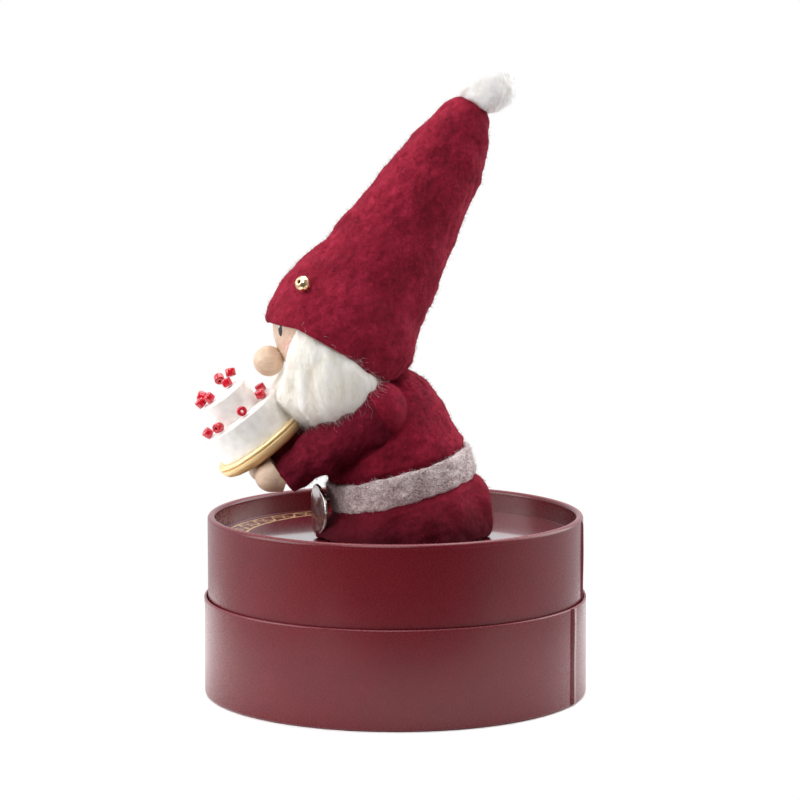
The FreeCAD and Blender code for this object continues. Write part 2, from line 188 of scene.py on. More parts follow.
@dataclass(frozen=True)
class WoolFelt(Finish):
    """Wet-felted, piece-dyed wool cloth.

    Matted fibres in every direction break the colour into soft clumps a millimetre or two
    across, with loose hairs that catch light along every edge, so nothing on it is glossy.
    Between two given heights the colour darkens downwards: painted shade for the skirt's shadow.
    """

    deep: str = "#470a18"
    dyed: str = "#7e142a"
    raised: str = "#a4253f"
    clump_mm: float = 1.7
    cloud_mm: float = 9.0
    hair_mm: float = 0.55
    relief_mm: float = 0.30
    # heights and colour of a painted shade that darkens the cloth downwards, standing for shadow
    painted_shade_mm: tuple[float, float] = (-1.0, 0.0)
    painted_shade_colour: str = "#33070f"

    def build(self) -> Material:
        """Builds the felt's material.

        Returns:
            The material.
        """
        tree, place = self.start()
        clouds = add_node(tree, "TexNoise",
                          {"Vector": place, "Scale": per_metre(self.cloud_mm), "Detail": 3.0})
        clumps = add_node(tree, "TexNoise", {"Vector": place, "Scale": per_metre(self.clump_mm),
                                             "Detail": 5.0, "Roughness": 0.62, "Distortion": 1.1})
        # Real hairs are 0.03 mm thick; these streaks are coarser, so that they show.
        combed = add_node(tree, "Mapping", {"Vector": place, "Scale": (1.0, 0.8, 0.45),
                                            "Rotation": (0.5, 0.2, 0.9)})
        hairs = add_node(tree, "TexNoise", {"Vector": combed, "Scale": per_metre(self.hair_mm),
                                            "Detail": 4.0, "Roughness": 0.7, "Distortion": 2.2})
        matted = add_node(tree, "Mix", {0: 0.45, 2: clumps, 3: hairs}, data_type="FLOAT")
        tone = add_node(tree, "Mix", {0: 0.3, 2: matted, 3: clouds}, data_type="FLOAT")
        colour = add_node(tree, "ValToRGB", {"Fac": tone},
                          [(0.33, self.deep), (0.50, self.dyed), (0.67, self.raised)])
        axes = add_node(tree, "SeparateXYZ", {"Vector": place})
        # Painted shade: below the upper height the colour is drawn towards a dark shade colour.
        low, high = self.painted_shade_mm
        painted_shade_share = add_node(tree, "MapRange", {"Value": axes.outputs["Z"], "From Min": low * MM,
                                          "From Max": high * MM, "To Min": 0.85, "To Max": 0.0})
        colour = add_node(tree, "Mix", {0: painted_shade_share, 6: colour, 7: linear(self.painted_shade_colour)},
                          data_type="RGBA")
        relief = add_node(tree, "Bump", {"Height": matted, "Strength": 0.75,
                                         "Distance": self.relief_mm * MM})
        return self.close(tree, {"Base Color": colour.outputs[2], "Roughness": 0.95,
                                 "Specular IOR Level": 0.15, "Sheen Weight": 0.30,
                                 "Sheen Roughness": 0.45, "Sheen Tint": linear(self.raised),
                                 "Normal": relief})


@dataclass(frozen=True)
class HeatheredFelt(Finish):
    """Undyed grey and white wools, carded together and pressed into belt felt.

    The two fleeces never blend fully: dark and pale flecks under a millimetre long lie side
    by side, and read as a warm grey from further off.
    """

    dark: str = "#856f70"
    middle: str = "#bda8a9"
    pale: str = "#e6dad9"
    fleck_mm: float = 0.75
    relief_mm: float = 0.25

    def build(self) -> Material:
        """Builds the belt felt's material.

        Returns:
            The material.
        """
        tree, place = self.start()
        laid = add_node(tree, "Mapping", {"Vector": place, "Scale": (0.7, 0.7, 1.2)})
        flecks = add_node(tree, "TexNoise", {"Vector": laid, "Scale": per_metre(self.fleck_mm),
                                             "Detail": 3.0, "Roughness": 0.6, "Distortion": 1.6})
        clouds = add_node(tree, "TexNoise",
                          {"Vector": place, "Scale": per_metre(6 * self.fleck_mm), "Detail": 4.0})
        tone = add_node(tree, "Mix", {0: 0.28, 2: flecks, 3: clouds}, data_type="FLOAT")
        colour = add_node(tree, "ValToRGB", {"Fac": tone},
                          [(0.37, self.dark), (0.49, self.middle), (0.60, self.pale)])
        relief = add_node(tree, "Bump", {"Height": flecks, "Strength": 0.7,
                                         "Distance": self.relief_mm * MM})
        return self.close(tree, {"Base Color": colour, "Roughness": 0.95,
                                 "Specular IOR Level": 0.15, "Sheen Weight": 0.25,
                                 "Sheen Roughness": 0.5, "Normal": relief})


@dataclass(frozen=True)
class CardedWool(Finish):
    """Washed, carded and unspun fleece, as used for beards and pompoms.

    Fine parallel fibres let light in between them, so it stays bright in its own shadows and
    shows soft streaks along the lock rather than a surface.
    """

    shade: str = "#f3ebe0"
    fleece: str = "#fffbf2"
    streak_mm: float = 0.8
    lock_mm: float = 4.0
    relief_mm: float = 0.35

    def build(self) -> Material:
        """Builds the fleece's material.

        Returns:
            The material.
        """
        tree, place = self.start()
        combed = add_node(tree, "Mapping", {"Vector": place, "Scale": (1.0, 1.0, 0.3),
                                            "Rotation": (-0.5, 0.0, 0.0)})
        # A fleece fibre is 0.04 mm thick; the streaks stand for small strands of them.
        streaks = add_node(tree, "TexNoise", {"Vector": combed, "Scale": per_metre(self.streak_mm),
                                              "Detail": 5.0, "Roughness": 0.65, "Distortion": 0.8})
        locks = add_node(tree, "TexNoise", {"Vector": combed, "Scale": per_metre(self.lock_mm),
                                            "Detail": 3.0})
        tone = add_node(tree, "Mix", {0: 0.5, 2: streaks, 3: locks}, data_type="FLOAT")
        colour = add_node(tree, "ValToRGB", {"Fac": tone},
                          [(0.38, self.shade), (0.56, self.fleece)])
        relief = add_node(tree, "Bump", {"Height": tone, "Strength": 0.6,
                                         "Distance": self.relief_mm * MM})
        return self.close(tree, {"Base Color": colour, "Roughness": 0.85,
                                 "Specular IOR Level": 0.25, "Sheen Weight": 0.2,
                                 "Subsurface Weight": 0.6, "Subsurface Radius": (1.0, 0.92, 0.82),
                                 "Subsurface Scale": 6 * MM, "Normal": relief})


@dataclass(frozen=True)
class TurnedBeech(Finish):
    """Beech turned on a lathe, sanded and waxed, with nothing hiding the wood.

    Fine even grain with short darker flecks, and the slight gloss of wax. On the head two
    spots are rubbed with rouge.
    """

    wood: str = "#ecd0b6"
    grain: str = "#d9b697"
    fleck: str = "#c49a78"
    grain_mm: float = 0.9
    fleck_mm: float = 0.5
    rouge: str = "#ee9f9d"
    rouge_spots: tuple[tuple[float, float, float], ...] = ()
    rouge_reach_mm: float = 5.2

    def build(self) -> Material:
        """Builds the wood's material, with its rouge where there is any.

        Returns:
            The material.
        """
        tree, place = self.start()
        along = add_node(tree, "Mapping", {"Vector": place, "Scale": (1.0, 0.16, 1.0),
                                           "Rotation": (0.35, 0.0, 0.1)})
        rings = add_node(tree, "TexNoise", {"Vector": along, "Scale": per_metre(self.grain_mm),
                                            "Detail": 4.0, "Roughness": 0.55, "Distortion": 0.4})
        colour = add_node(tree, "ValToRGB", {"Fac": rings},
                          [(0.35, self.grain), (0.62, self.wood)])
        # Beech pores are 0.1 mm wide; they are drawn coarser, so that they show.
        flecks = add_node(tree, "TexVoronoi", {"Vector": along, "Scale": per_metre(self.fleck_mm),
                                               "Randomness": 1.0})
        pores = add_node(tree, "MapRange", {"Value": flecks.outputs["Distance"], "From Min": 0.05,
                                            "From Max": 0.22, "To Min": 0.35, "To Max": 0.0})
        painted = add_node(tree, "Mix", {0: pores, 6: colour, 7: linear(self.fleck)},
                           data_type="RGBA").outputs[2]
        for spot in self.rouge_spots:
            far = add_node(tree, "VectorMath", {0: place, 1: spot}, operation="DISTANCE")
            dab = add_node(tree, "MapRange",
                           {"Value": far.outputs["Value"], "From Min": 0.1 * MM,
                            "From Max": self.rouge_reach_mm * MM, "To Min": 0.8, "To Max": 0.0},
                           interpolation_type="SMOOTHERSTEP")
            painted = add_node(tree, "Mix", {0: dab, 6: painted, 7: linear(self.rouge)},
                               data_type="RGBA").outputs[2]
        relief = add_node(tree, "Bump", {"Height": rings, "Strength": 0.2, "Distance": 0.05 * MM})
        return self.close(tree, {"Base Color": painted, "Roughness": 0.42, "IOR": 1.5,
                                 "Coat Weight": 0.12, "Coat Roughness": 0.3, "Normal": relief})


@dataclass(frozen=True)
class CoatedPaper(Finish):
    """Wood-free paper, printed solid, matt varnished and wrapped round board.

    Satin film over dead even ink, with the paper's faint clouds, paler in a thin band at each edge.
    """

    ink: str = "#610c17"
    cloud: str = "#5c0b15"
    rubbed: str = "#a8606a"
    cloud_mm: float = 14.0
    fibre_mm: float = 0.6
    edges_mm: tuple[float, ...] = ()
    gloss: float = 0.27

    def build(self) -> Material:
        """Builds the paper's material.

        Returns:
            The material.
        """
        tree, place = self.start()
        clouds = add_node(tree, "TexNoise",
                          {"Vector": place, "Scale": per_metre(self.cloud_mm), "Detail": 4.0})
        # Paper fibres are 0.02 mm thick; this is the coarser grain that they felt into.
        fibres = add_node(tree, "TexNoise", {"Vector": place, "Scale": per_metre(self.fibre_mm),
                                             "Detail": 3.0, "Roughness": 0.6})
        colour = add_node(tree, "ValToRGB", {"Fac": clouds},
                          [(0.35, self.cloud), (0.65, self.ink)])
        axes = add_node(tree, "SeparateXYZ", {"Vector": place})
        # Paler ink in a thin band at each height of the edges, broken by the paper grain.
        for edge in self.edges_mm:
            away = add_node(tree, "Math", {0: axes.outputs["Z"], 1: edge * MM},
                            operation="SUBTRACT")
            away = add_node(tree, "Math", {0: away}, operation="ABSOLUTE")
            near = add_node(tree, "MapRange",
                            {"Value": away, "From Min": 0.0, "From Max": 0.45 * MM,
                             "To Min": 0.55, "To Max": 0.0})
            pale_edge_share = add_node(tree, "Math", {0: near, 1: fibres}, operation="MULTIPLY")
            colour = add_node(tree, "Mix", {0: pale_edge_share, 6: colour, 7: linear(self.rubbed)},
                              data_type="RGBA").outputs[2]
        shine = add_node(tree, "MapRange", {"Value": fibres, "To Min": self.gloss - 0.04,
                                            "To Max": self.gloss + 0.05})
        relief = add_node(tree, "Bump", {"Height": fibres, "Strength": 0.06,
                                         "Distance": 0.02 * MM})
        return self.close(tree, {"Base Color": colour, "Roughness": shine, "IOR": 1.45,
                                 "Normal": relief})


@dataclass(frozen=True)
class GreyBoard(Finish):
    """Recycled pulp board, wound or pressed, and left raw where no paper covers it.

    Matt and warm grey, with flecks of whatever went into the pulp.
    """

    board: str = "#8f8579"
    fleck: str = "#6d645b"
    pulp_mm: float = 1.1

    def build(self) -> Material:
        """Builds the raw board's material.

        Returns:
            The material.
        """
        tree, place = self.start()
        pulp = add_node(tree, "TexNoise", {"Vector": place, "Scale": per_metre(self.pulp_mm),
                                           "Detail": 6.0, "Roughness": 0.7})
        colour = add_node(tree, "ValToRGB", {"Fac": pulp},
                          [(0.38, self.fleck), (0.52, self.board)])
        relief = add_node(tree, "Bump", {"Height": pulp, "Strength": 0.4, "Distance": 0.08 * MM})
        return self.close(tree, {"Base Color": colour, "Roughness": 0.9, "Normal": relief})


@dataclass(frozen=True)
class LaminatedPrint(Finish):
    """Printed disc under a glossy film, with a foil-stamped ornament round its front.

    The film mirrors the room in long soft streaks. The foil is thin, broken by the press,
    and follows an arc of scrolls and dots.
    """

    ink: str = "#5c1420"
    foil: str = "#f0cf9a"
    film: float = 0.16
    ring_mm: float = 46.4
    scroll_mm: float = 2.0
    line_mm: float = 0.34
    border_mm: float = 2.9
    foil_grain: float = 0.32
    scroll_turns: float = 34.0
    half_arc: float = 1.25
    press_mm: float = 0.7
    cloud_mm: float = 16.0
    cloud: str = "#6b1c28"

    def build(self) -> Material:
        """Builds the disc's material.

        Returns:
            The material.
        """
        tree, place = self.start()
        axes = add_node(tree, "SeparateXYZ", {"Vector": place})
        turned = add_node(tree, "Math", {0: axes.outputs["Y"], 1: -1.0}, operation="MULTIPLY")
        angle = add_node(tree, "Math", {0: axes.outputs["X"], 1: turned}, operation="ARCTAN2")
        flat = add_node(tree, "CombineXYZ", {"X": axes.outputs["X"], "Y": axes.outputs["Y"]})
        radius = add_node(tree, "VectorMath", {0: flat}, operation="LENGTH")
        from_ring = add_node(tree, "Math", {0: radius.outputs["Value"], 1: self.ring_mm * MM},
                             operation="SUBTRACT")
        marks = []
        strokes = ((self.scroll_turns, self.scroll_mm, self.line_mm, 0.0),
                   (2 * self.scroll_turns, -0.7 * self.scroll_mm, 0.8 * self.line_mm, 0.0),
                   (0.0, 0.0, self.line_mm, self.border_mm),
                   (0.0, 0.0, self.line_mm, -self.border_mm))
        for turns, swing, width, offset in strokes:
            phase = add_node(tree, "Math", {0: angle, 1: turns}, operation="MULTIPLY")
            wave = add_node(tree, "Math", {0: phase}, operation="SINE")
            swung = add_node(tree, "Math", {0: wave, 1: swing * MM, 2: offset * MM},
                             operation="MULTIPLY_ADD")
            off = add_node(tree, "Math", {0: from_ring, 1: swung}, operation="SUBTRACT")
            off = add_node(tree, "Math", {0: off}, operation="ABSOLUTE")
            marks.append(add_node(tree, "MapRange",
                                  {"Value": off, "From Min": width * MM,
                                   "From Max": 1.4 * width * MM, "To Min": 1.0,
                                   "To Max": 0.0}))
        drawn = marks[0]
        for mark in marks[1:]:
            drawn = add_node(tree, "Math", {0: drawn, 1: mark}, operation="MAXIMUM")
        spread = add_node(tree, "Math", {0: angle}, operation="ABSOLUTE")
        arc = add_node(tree, "MapRange",
                       {"Value": spread, "From Min": self.half_arc,
                        "From Max": self.half_arc + 0.02, "To Min": 1.0, "To Max": 0.0})
        press = add_node(tree, "TexNoise", {"Vector": place, "Scale": per_metre(self.press_mm),
                                            "Detail": 3.0})
        held = add_node(tree, "MapRange", {"Value": press, "From Min": 0.33, "From Max": 0.42})
        foil = add_node(tree, "Math", {0: drawn, 1: arc}, operation="MULTIPLY")
        foil = add_node(tree, "Math", {0: foil, 1: held}, operation="MULTIPLY")
        clouds = add_node(tree, "TexNoise", {"Vector": place, "Scale": per_metre(self.cloud_mm),
                                             "Detail": 2.0})
        deeper = add_node(tree, "Mix", {0: clouds, 6: linear(self.ink), 7: linear(self.cloud)},
                          data_type="RGBA")
        colour = add_node(tree, "Mix", {0: foil, 6: deeper.outputs[2], 7: linear(self.foil)},
                          data_type="RGBA")
        shine = add_node(tree, "MapRange", {"Value": press, "To Min": self.film - 0.03,
                                            "To Max": self.film + 0.05})
        shine = add_node(tree, "Math", {0: foil, 1: self.foil_grain, 2: shine},
                         operation="MULTIPLY_ADD")
        relief = add_node(tree, "Bump", {"Height": clouds, "Strength": 0.15, "Distance": 0.2 * MM})
        return self.close(tree, {"Base Color": colour.outputs[2], "IOR": 1.5, "Roughness": shine,
                                 "Coat Weight": 1.0, "Coat Roughness": 0.06, "Metallic": foil,
                                 "Normal": relief})


@dataclass(frozen=True)
class GoldPaint(Finish):
    """Bronze powder paint brushed on turned wood while it spins.

    Not quite metal: brush lines run round the rim; painted shade below, painted highlight on top.
    """

    gold: str = "#ecc78a"
    painted_highlight: str = "#f6dfae"
    shadow: str = "#a97c45"
    streak_mm: float = 0.5
    rub_mm: float = 4.0
    axis: tuple[float, float, float] = (0.0, 0.0, 1.0)
    underside_mm: float = 0.0
    rim_top_mm: float = 1.0

    def build(self) -> Material:
        """Builds the gold paint's material.

        Returns:
            The material.
        """
        tree, place = self.start()
        # Painted light: colour by height, with painted shade underneath and a painted highlight on
        # top.
        height = add_node(tree, "VectorMath", {0: place, 1: self.axis}, operation="DOT_PRODUCT")
        level = add_node(tree, "MapRange",
                         {"Value": height.outputs["Value"], "From Min": self.underside_mm * MM,
                          "From Max": self.rim_top_mm * MM})
        # Brush lines are 0.1 mm apart; they are drawn coarser, so that they show.
        rubbed = add_node(tree, "TexNoise",
                          {"Vector": place, "Scale": per_metre(self.rub_mm), "Detail": 4.0})
        streaks = add_node(tree, "TexNoise",
                           {"Vector": place, "Scale": per_metre(self.streak_mm), "Detail": 3.0})
        tone = add_node(tree, "Mix", {0: 0.25, 2: level, 3: rubbed}, data_type="FLOAT")
        colour = add_node(tree, "ValToRGB", {"Fac": tone},
                          [(0.06, self.shadow), (0.34, self.gold), (0.9, self.painted_highlight)])
        shine = add_node(tree, "MapRange", {"Value": streaks, "To Min": 0.38, "To Max": 0.6})
        relief = add_node(tree, "Bump", {"Height": streaks, "Strength": 0.3,
                                         "Distance": 0.06 * MM})
        return self.close(tree, {"Base Color": colour, "Metallic": 0.55, "Roughness": shine,
                                 "Normal": relief})


@dataclass(frozen=True)
class Lacquer(Finish):
    """Brushed or sprayed gloss lacquer on turned wood, glass or a painted eye.

    A smooth, thick, faintly rippled skin with a clear highlight and softened edges.
    """

    colour: str = "#f3f0ec"
    thin: str = "#e9e4de"
    ripple_mm: float = 2.5
    gloss: float = 0.3
    clear: float = 0.3

    def build(self) -> Material:
        """Builds the lacquer's material.

        Returns:
            The material.
        """
        tree, place = self.start()
        ripple = add_node(tree, "TexNoise",
                          {"Vector": place, "Scale": per_metre(self.ripple_mm), "Detail": 2.0})
        colour = add_node(tree, "ValToRGB", {"Fac": ripple},
                          [(0.35, self.thin), (0.6, self.colour)])
        relief = add_node(tree, "Bump", {"Height": ripple, "Strength": 0.15, "Distance": 0.1 * MM})
        return self.close(tree, {"Base Color": colour, "IOR": 1.5, "Roughness": self.gloss,
                                 "Coat Weight": self.clear, "Coat Roughness": 0.1,
                                 "Normal": relief})


@dataclass(frozen=True)
class PolishedMetal(Finish):
    """Thin sheet or bead metal, stamped and tumbled bright.

    Mirrors its surroundings in broken patches, because the press and the tumbling leave it
    slightly uneven, with hairline scratches.
    """

    metal: str = "#cfcac6"
    tarnish: str = "#a9a19c"
    dent_mm: float = 3.0
    scratch_mm: float = 0.25
    gloss: float = 0.16

    def build(self) -> Material:
        """Builds the metal's material.

        Returns:
            The material.
        """
        tree, place = self.start()
        dents = add_node(tree, "TexNoise",
                         {"Vector": place, "Scale": per_metre(self.dent_mm), "Detail": 2.0})
        # Hairline scratches are 0.02 mm wide; they are drawn coarser, so that they show.
        drawn = add_node(tree, "Mapping", {"Vector": place, "Scale": (1.0, 1.0, 0.08)})
        scratches = add_node(tree, "TexNoise",
                             {"Vector": drawn,
                              "Scale": per_metre(self.scratch_mm), "Detail": 2.0})
        colour = add_node(tree, "ValToRGB", {"Fac": dents},
                          [(0.36, self.tarnish), (0.55, self.metal)])
        shine = add_node(tree, "MapRange", {"Value": scratches, "To Min": self.gloss,
                                            "To Max": self.gloss + 0.14})
        relief = add_node(tree, "Bump", {"Height": dents, "Strength": 0.5, "Distance": 0.3 * MM})
        return self.close(tree, {"Base Color": colour, "Metallic": 1.0, "Roughness": shine,
                                 "Normal": relief})


# ---- shape helpers ----
def unit(vectors: Array) -> Array:
    """Vectors scaled to length one."""
    return vectors / np.maximum(np.linalg.norm(vectors, axis=-1, keepdims=True), 1e-9)


def around(count: int) -> Array:
    """Angles of one full turn in radians, evenly spaced."""
    return np.linspace(0, 2 * math.pi, count, endpoint=False)


def smooth(values: Array) -> Array:
    """Eases values from 0 to 1, and holds them outside that range."""
    held = np.clip(values, 0.0, 1.0)
    return held * held * (3 - 2 * held)


def through(points: tuple[tuple[float, float], ...], at: Array) -> Array:
    """Draws a smooth curve through given points without overshooting them.

    Args:
        points: (place, value) pairs in rising order of place.
        at: places to read the curve at.

    Returns:
        The curve's values there.
    """
    places, values = np.array(points, float).T
    steps = np.diff(places)
    slopes = np.diff(values) / steps
    pairs = slopes[:-1] * slopes[1:]
    total = slopes[:-1] + slopes[1:]
    inner = np.where(pairs > 0, 2 * pairs / np.where(total == 0, 1, total), 0)
    tangents = np.concatenate([slopes[:1], inner, slopes[-1:]])
    i = np.clip(np.searchsorted(places, at) - 1, 0, len(steps) - 1)
    t = np.clip((at - places[i]) / steps[i], 0, 1)
    return ((2 * t ** 3 - 3 * t ** 2 + 1) * values[i] + (3 * t ** 2 - 2 * t ** 3) * values[i + 1]
            + (t ** 3 - 2 * t ** 2 + t) * steps[i] * tangents[i]
            + (t ** 3 - t ** 2) * steps[i] * tangents[i + 1])


def ripple(points: Array, wavelength: float, seed: int, waves: int = 22) -> Array:
    """Smooth seeded lumps in space, as a sum of waves in random directions.

    Args:
        points: places in millimetres, with the axes last.
        wavelength: rough distance between lumps.
        seed: seed of the random directions.
        waves: how many waves are added.

    Returns:
        One height a place, mostly between -1 and 1.
    """
    rng = np.random.default_rng(seed)
    height = np.zeros(points.shape[:-1])
    for direction in unit(rng.normal(size=(waves, 3))):
        length = wavelength * rng.uniform(0.7, 1.5)
        height += np.sin(points @ direction * (2 * math.pi / length) + rng.uniform(0, 7))
    return height / math.sqrt(waves)


def lumps(points: Array, seed: int, *layers: tuple[float, float]) -> Array:
    """Adds ripples of several sizes, each given as (wavelength, height)."""
    return sum(height * ripple(points, wavelength, seed + i)
               for i, (wavelength, height) in enumerate(layers))


def grid_faces(rows: int, cols: int, loop_rows: bool = False) -> Array:
    """Quads of a grid whose columns run in a ring.

    Args:
        rows: number of rows.
        cols: number of columns.
        loop_rows: whether the last row joins the first.

    Returns:
        Corner indices, four a face.
    """
    row = np.arange(rows if loop_rows else rows - 1)[:, None]
    col = np.arange(cols)[None, :]
    below = (row + 1) % rows
    right = (col + 1) % cols
    quads = np.stack(np.broadcast_arrays(row * cols + col, row * cols + right,
                                         below * cols + right, below * cols + col), axis=-1)
    return quads.reshape(-1, 4)


def make_piece(name: str, points: Array, faces: list[Array],
               material: Material, body: Body = Body.FIGURE) -> bpy.types.Object:
    """Makes one smooth-shaded object that rides on a body.

    Args:
        name: the piece's name.
        points: places in millimetres, with the axes last.
        faces: arrays of corner indices, each with its own number of corners.
        material: the piece's material.
        body: body that the piece rides on.

    Returns:
        The object.
    """
    mesh = bpy.data.meshes.new(name)
    flat = points.reshape(-1, 3) * MM
    mesh.vertices.add(len(flat))
    mesh.vertices.foreach_set("co", flat.ravel())
    corners = np.concatenate([part.ravel() for part in faces])
    sizes = np.concatenate([np.full(len(part), part.shape[1]) for part in faces])
    mesh.loops.add(len(corners))
    mesh.loops.foreach_set("vertex_index", corners)
    mesh.polygons.add(len(sizes))
    mesh.polygons.foreach_set("loop_start", np.concatenate([[0], np.cumsum(sizes)[:-1]]))
    mesh.update(calc_edges=True)
    mesh.validate()
    mesh.shade_smooth()
    mesh.materials.append(material)
    piece = bpy.data.objects.new(name, mesh)
    bpy.context.scene.collection.objects.link(piece)
    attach(piece, body.value)
    log.info("%s: %d faces", name, len(sizes))
    return piece


def capped(points: Array) -> tuple[Array, list[Array]]:
    """Closes both ends of a grid of rings with a fan round a middle point.

    Args:
        points: rows by columns of places.

    Returns:
        All places and the faces, quads first.
    """
    rows, cols = points.shape[:2]
    flat = np.concatenate([points.reshape(-1, 3), [points[0].mean(0), points[-1].mean(0)]])
    ring = np.arange(cols)
    after = (ring + 1) % cols
    first = np.stack([after, ring, np.full(cols, rows * cols)], axis=-1)
    last = (rows - 1) * cols
    final = np.stack([last + ring, last + after, np.full(cols, rows * cols + 1)], axis=-1)
    return flat, [grid_faces(rows, cols), first, final]


def rim(outer: Array, inner: Array, outward: Array, steps: int = 4) -> Array:
    """Rows that round a cut edge over from the outer face to the inner one.

    Args:
        outer: ring of places on the outer face's edge.
        inner: the same ring on the inner face.
        outward: unit vectors off the edge.
        steps: number of rows.

    Returns:
        The rows, outer ones first.
    """
    middle = (outer + inner) / 2
    half = (outer - inner) / 2
    depth = np.linalg.norm(half, axis=-1, keepdims=True)
    turns = np.linspace(0, math.pi, steps + 2)[1:-1]
    return np.stack([middle + half * math.cos(turn) + outward * depth * math.sin(turn)
                     for turn in turns])


def turned(profile: Array, centre: Array, axis: Array,
           cols: int = 160) -> Array:
    """Turns a (radius, height) profile round an axis.

    Args:
        profile: rows of radius and height.
        centre: where the axis has height zero.
        axis: unit vector.
        cols: number of columns round.

    Returns:
        A grid of places, one row a profile point.
    """
    helper = [1.0, 0.0, 0.0] if abs(axis[0]) < 0.9 else [0.0, 1.0, 0.0]
    side = unit(np.cross(axis, helper))
    up = np.cross(axis, side)
    angle = around(cols)
    ring = np.cos(angle)[:, None] * side + np.sin(angle)[:, None] * up
    radius, height = np.asarray(profile, float).T
    return centre + radius[:, None, None] * ring[None] + height[:, None, None] * axis


def rounded(corners: list[tuple[float, float, float]], steps: int = 5) -> Array:
    """Rounds the corners of an open outline.

    Args:
        corners: radius, height and rounding of each corner; ends have no rounding.
        steps: points in each rounded corner.

    Returns:
        The outline's points.
    """
    places = [np.array(corner[:2], float) for corner in corners]
    line = [places[0]]
    for before, here, after, corner in zip(places, places[1:], places[2:], corners[1:]):
        cut = corner[2]
        start = here + (before - here) / np.linalg.norm(before - here) * cut
        end = here + (after - here) / np.linalg.norm(after - here) * cut
        for t in np.linspace(0, 1, steps):
            line.append((1 - t) ** 2 * start + 2 * t * (1 - t) * here + t ** 2 * end)
    return np.array(line + [places[-1]])


def subdivided(profile: Array, parts: int) -> Array:
    """Outline with every stretch cut into equal parts."""
    return np.concatenate([np.linspace(a, b, parts + 1)[:-1]
                           for a, b in zip(profile, profile[1:])] + [profile[-1:]])


def node_mm(node: str) -> Array:
    """Reads the places of a CAD node's corners.

    Args:
        node: the node's name.

    Returns:
        One row a corner, in millimetres.
    """
    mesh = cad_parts[node].data
    flat = np.empty(3 * len(mesh.vertices))
    mesh.vertices.foreach_get("co", flat)
    return flat.reshape(-1, 3) / MM


def box_mm(node: str) -> tuple[Array, Array]:
    """Lowest and highest corner of a CAD node's box, in millimetres."""
    low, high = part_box(node)
    return np.array(low) / MM, np.array(high) / MM


def middle_mm(node: str) -> Array:
    """Middle of a CAD node's box, in millimetres."""
    low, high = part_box(node)
    return np.array((low + high) / 2) / MM


def end_middle(node: str, direction: Array, depth: float = 0.1) -> Array:
    """Finds the middle of one end of a CAD node.

    Args:
        node: the node's name.
        direction: unit vector towards the end.
        depth: how far back from the furthest corner others still count.

    Returns:
        The middle in millimetres.
    """
    places = node_mm(node)
    reach = places @ direction
    return places[reach > reach.max() - depth].mean(0)


def leaning(degrees: float | Array) -> tuple[Array, Array]:
    """Axes of something that leans forward.

    Args:
        degrees: how far it leans.

    Returns:
        Unit vectors along it, and across it towards the back.
    """
    turn = np.radians(degrees)
    zero = np.zeros_like(turn)
    along = np.stack([zero, -np.sin(turn), np.cos(turn)], axis=-1)
    across = np.stack([zero, np.cos(turn), np.sin(turn)], axis=-1)
    return along, across


def dress(node: str, material: Material) -> None:
    """Gives a CAD node's object a material in all its slots.

    Args:
        node: the node's name.
        material: its new material.
    """
    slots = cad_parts[node].material_slots
    for place in slots:
        place.material = material
    if not slots:
        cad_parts[node].data.materials.append(material)


# ---- fibres ----
@dataclass(frozen=True)
class FibreStyle:
    """How one kind of loose fibre grows and lies.

    Fibres finer than a camera sees from this distance are drawn thick enough to show.
    """

    length: tuple[float, float]
    radius: float
    lift: float
    scatter: float
    curl: float
    wave: float
    points: int = 5
    droop: float = 0.0


@dataclass
class Surface:
    """A grid of places that fibres can grow from."""

    points: Array
    quads: Array
    seed: int

    def roots(self, count: int, keep: Array | None = None) -> tuple[Array, Array]:
        """Picks places evenly over the area.

        Args:
            count: number of places.
            keep: share of each quad's area to count, or None for all.

        Returns:
            The places and the unit normals there.
        """
        rng = np.random.default_rng(self.seed)
        corners = self.points.reshape(-1, 3)[self.quads]
        normals = np.cross(corners[:, 2] - corners[:, 0], corners[:, 3] - corners[:, 1])
        area = np.linalg.norm(normals, axis=1)
        weight = area if keep is None else area * keep
        picked = rng.choice(len(area), count, p=weight / weight.sum())
        u, v = rng.uniform(size=(2, count, 1))
        four = corners[picked]
        places = ((1 - u) * (1 - v) * four[:, 0] + u * (1 - v) * four[:, 1]
                  + u * v * four[:, 2] + (1 - u) * v * four[:, 3])
        return places, unit(normals[picked])


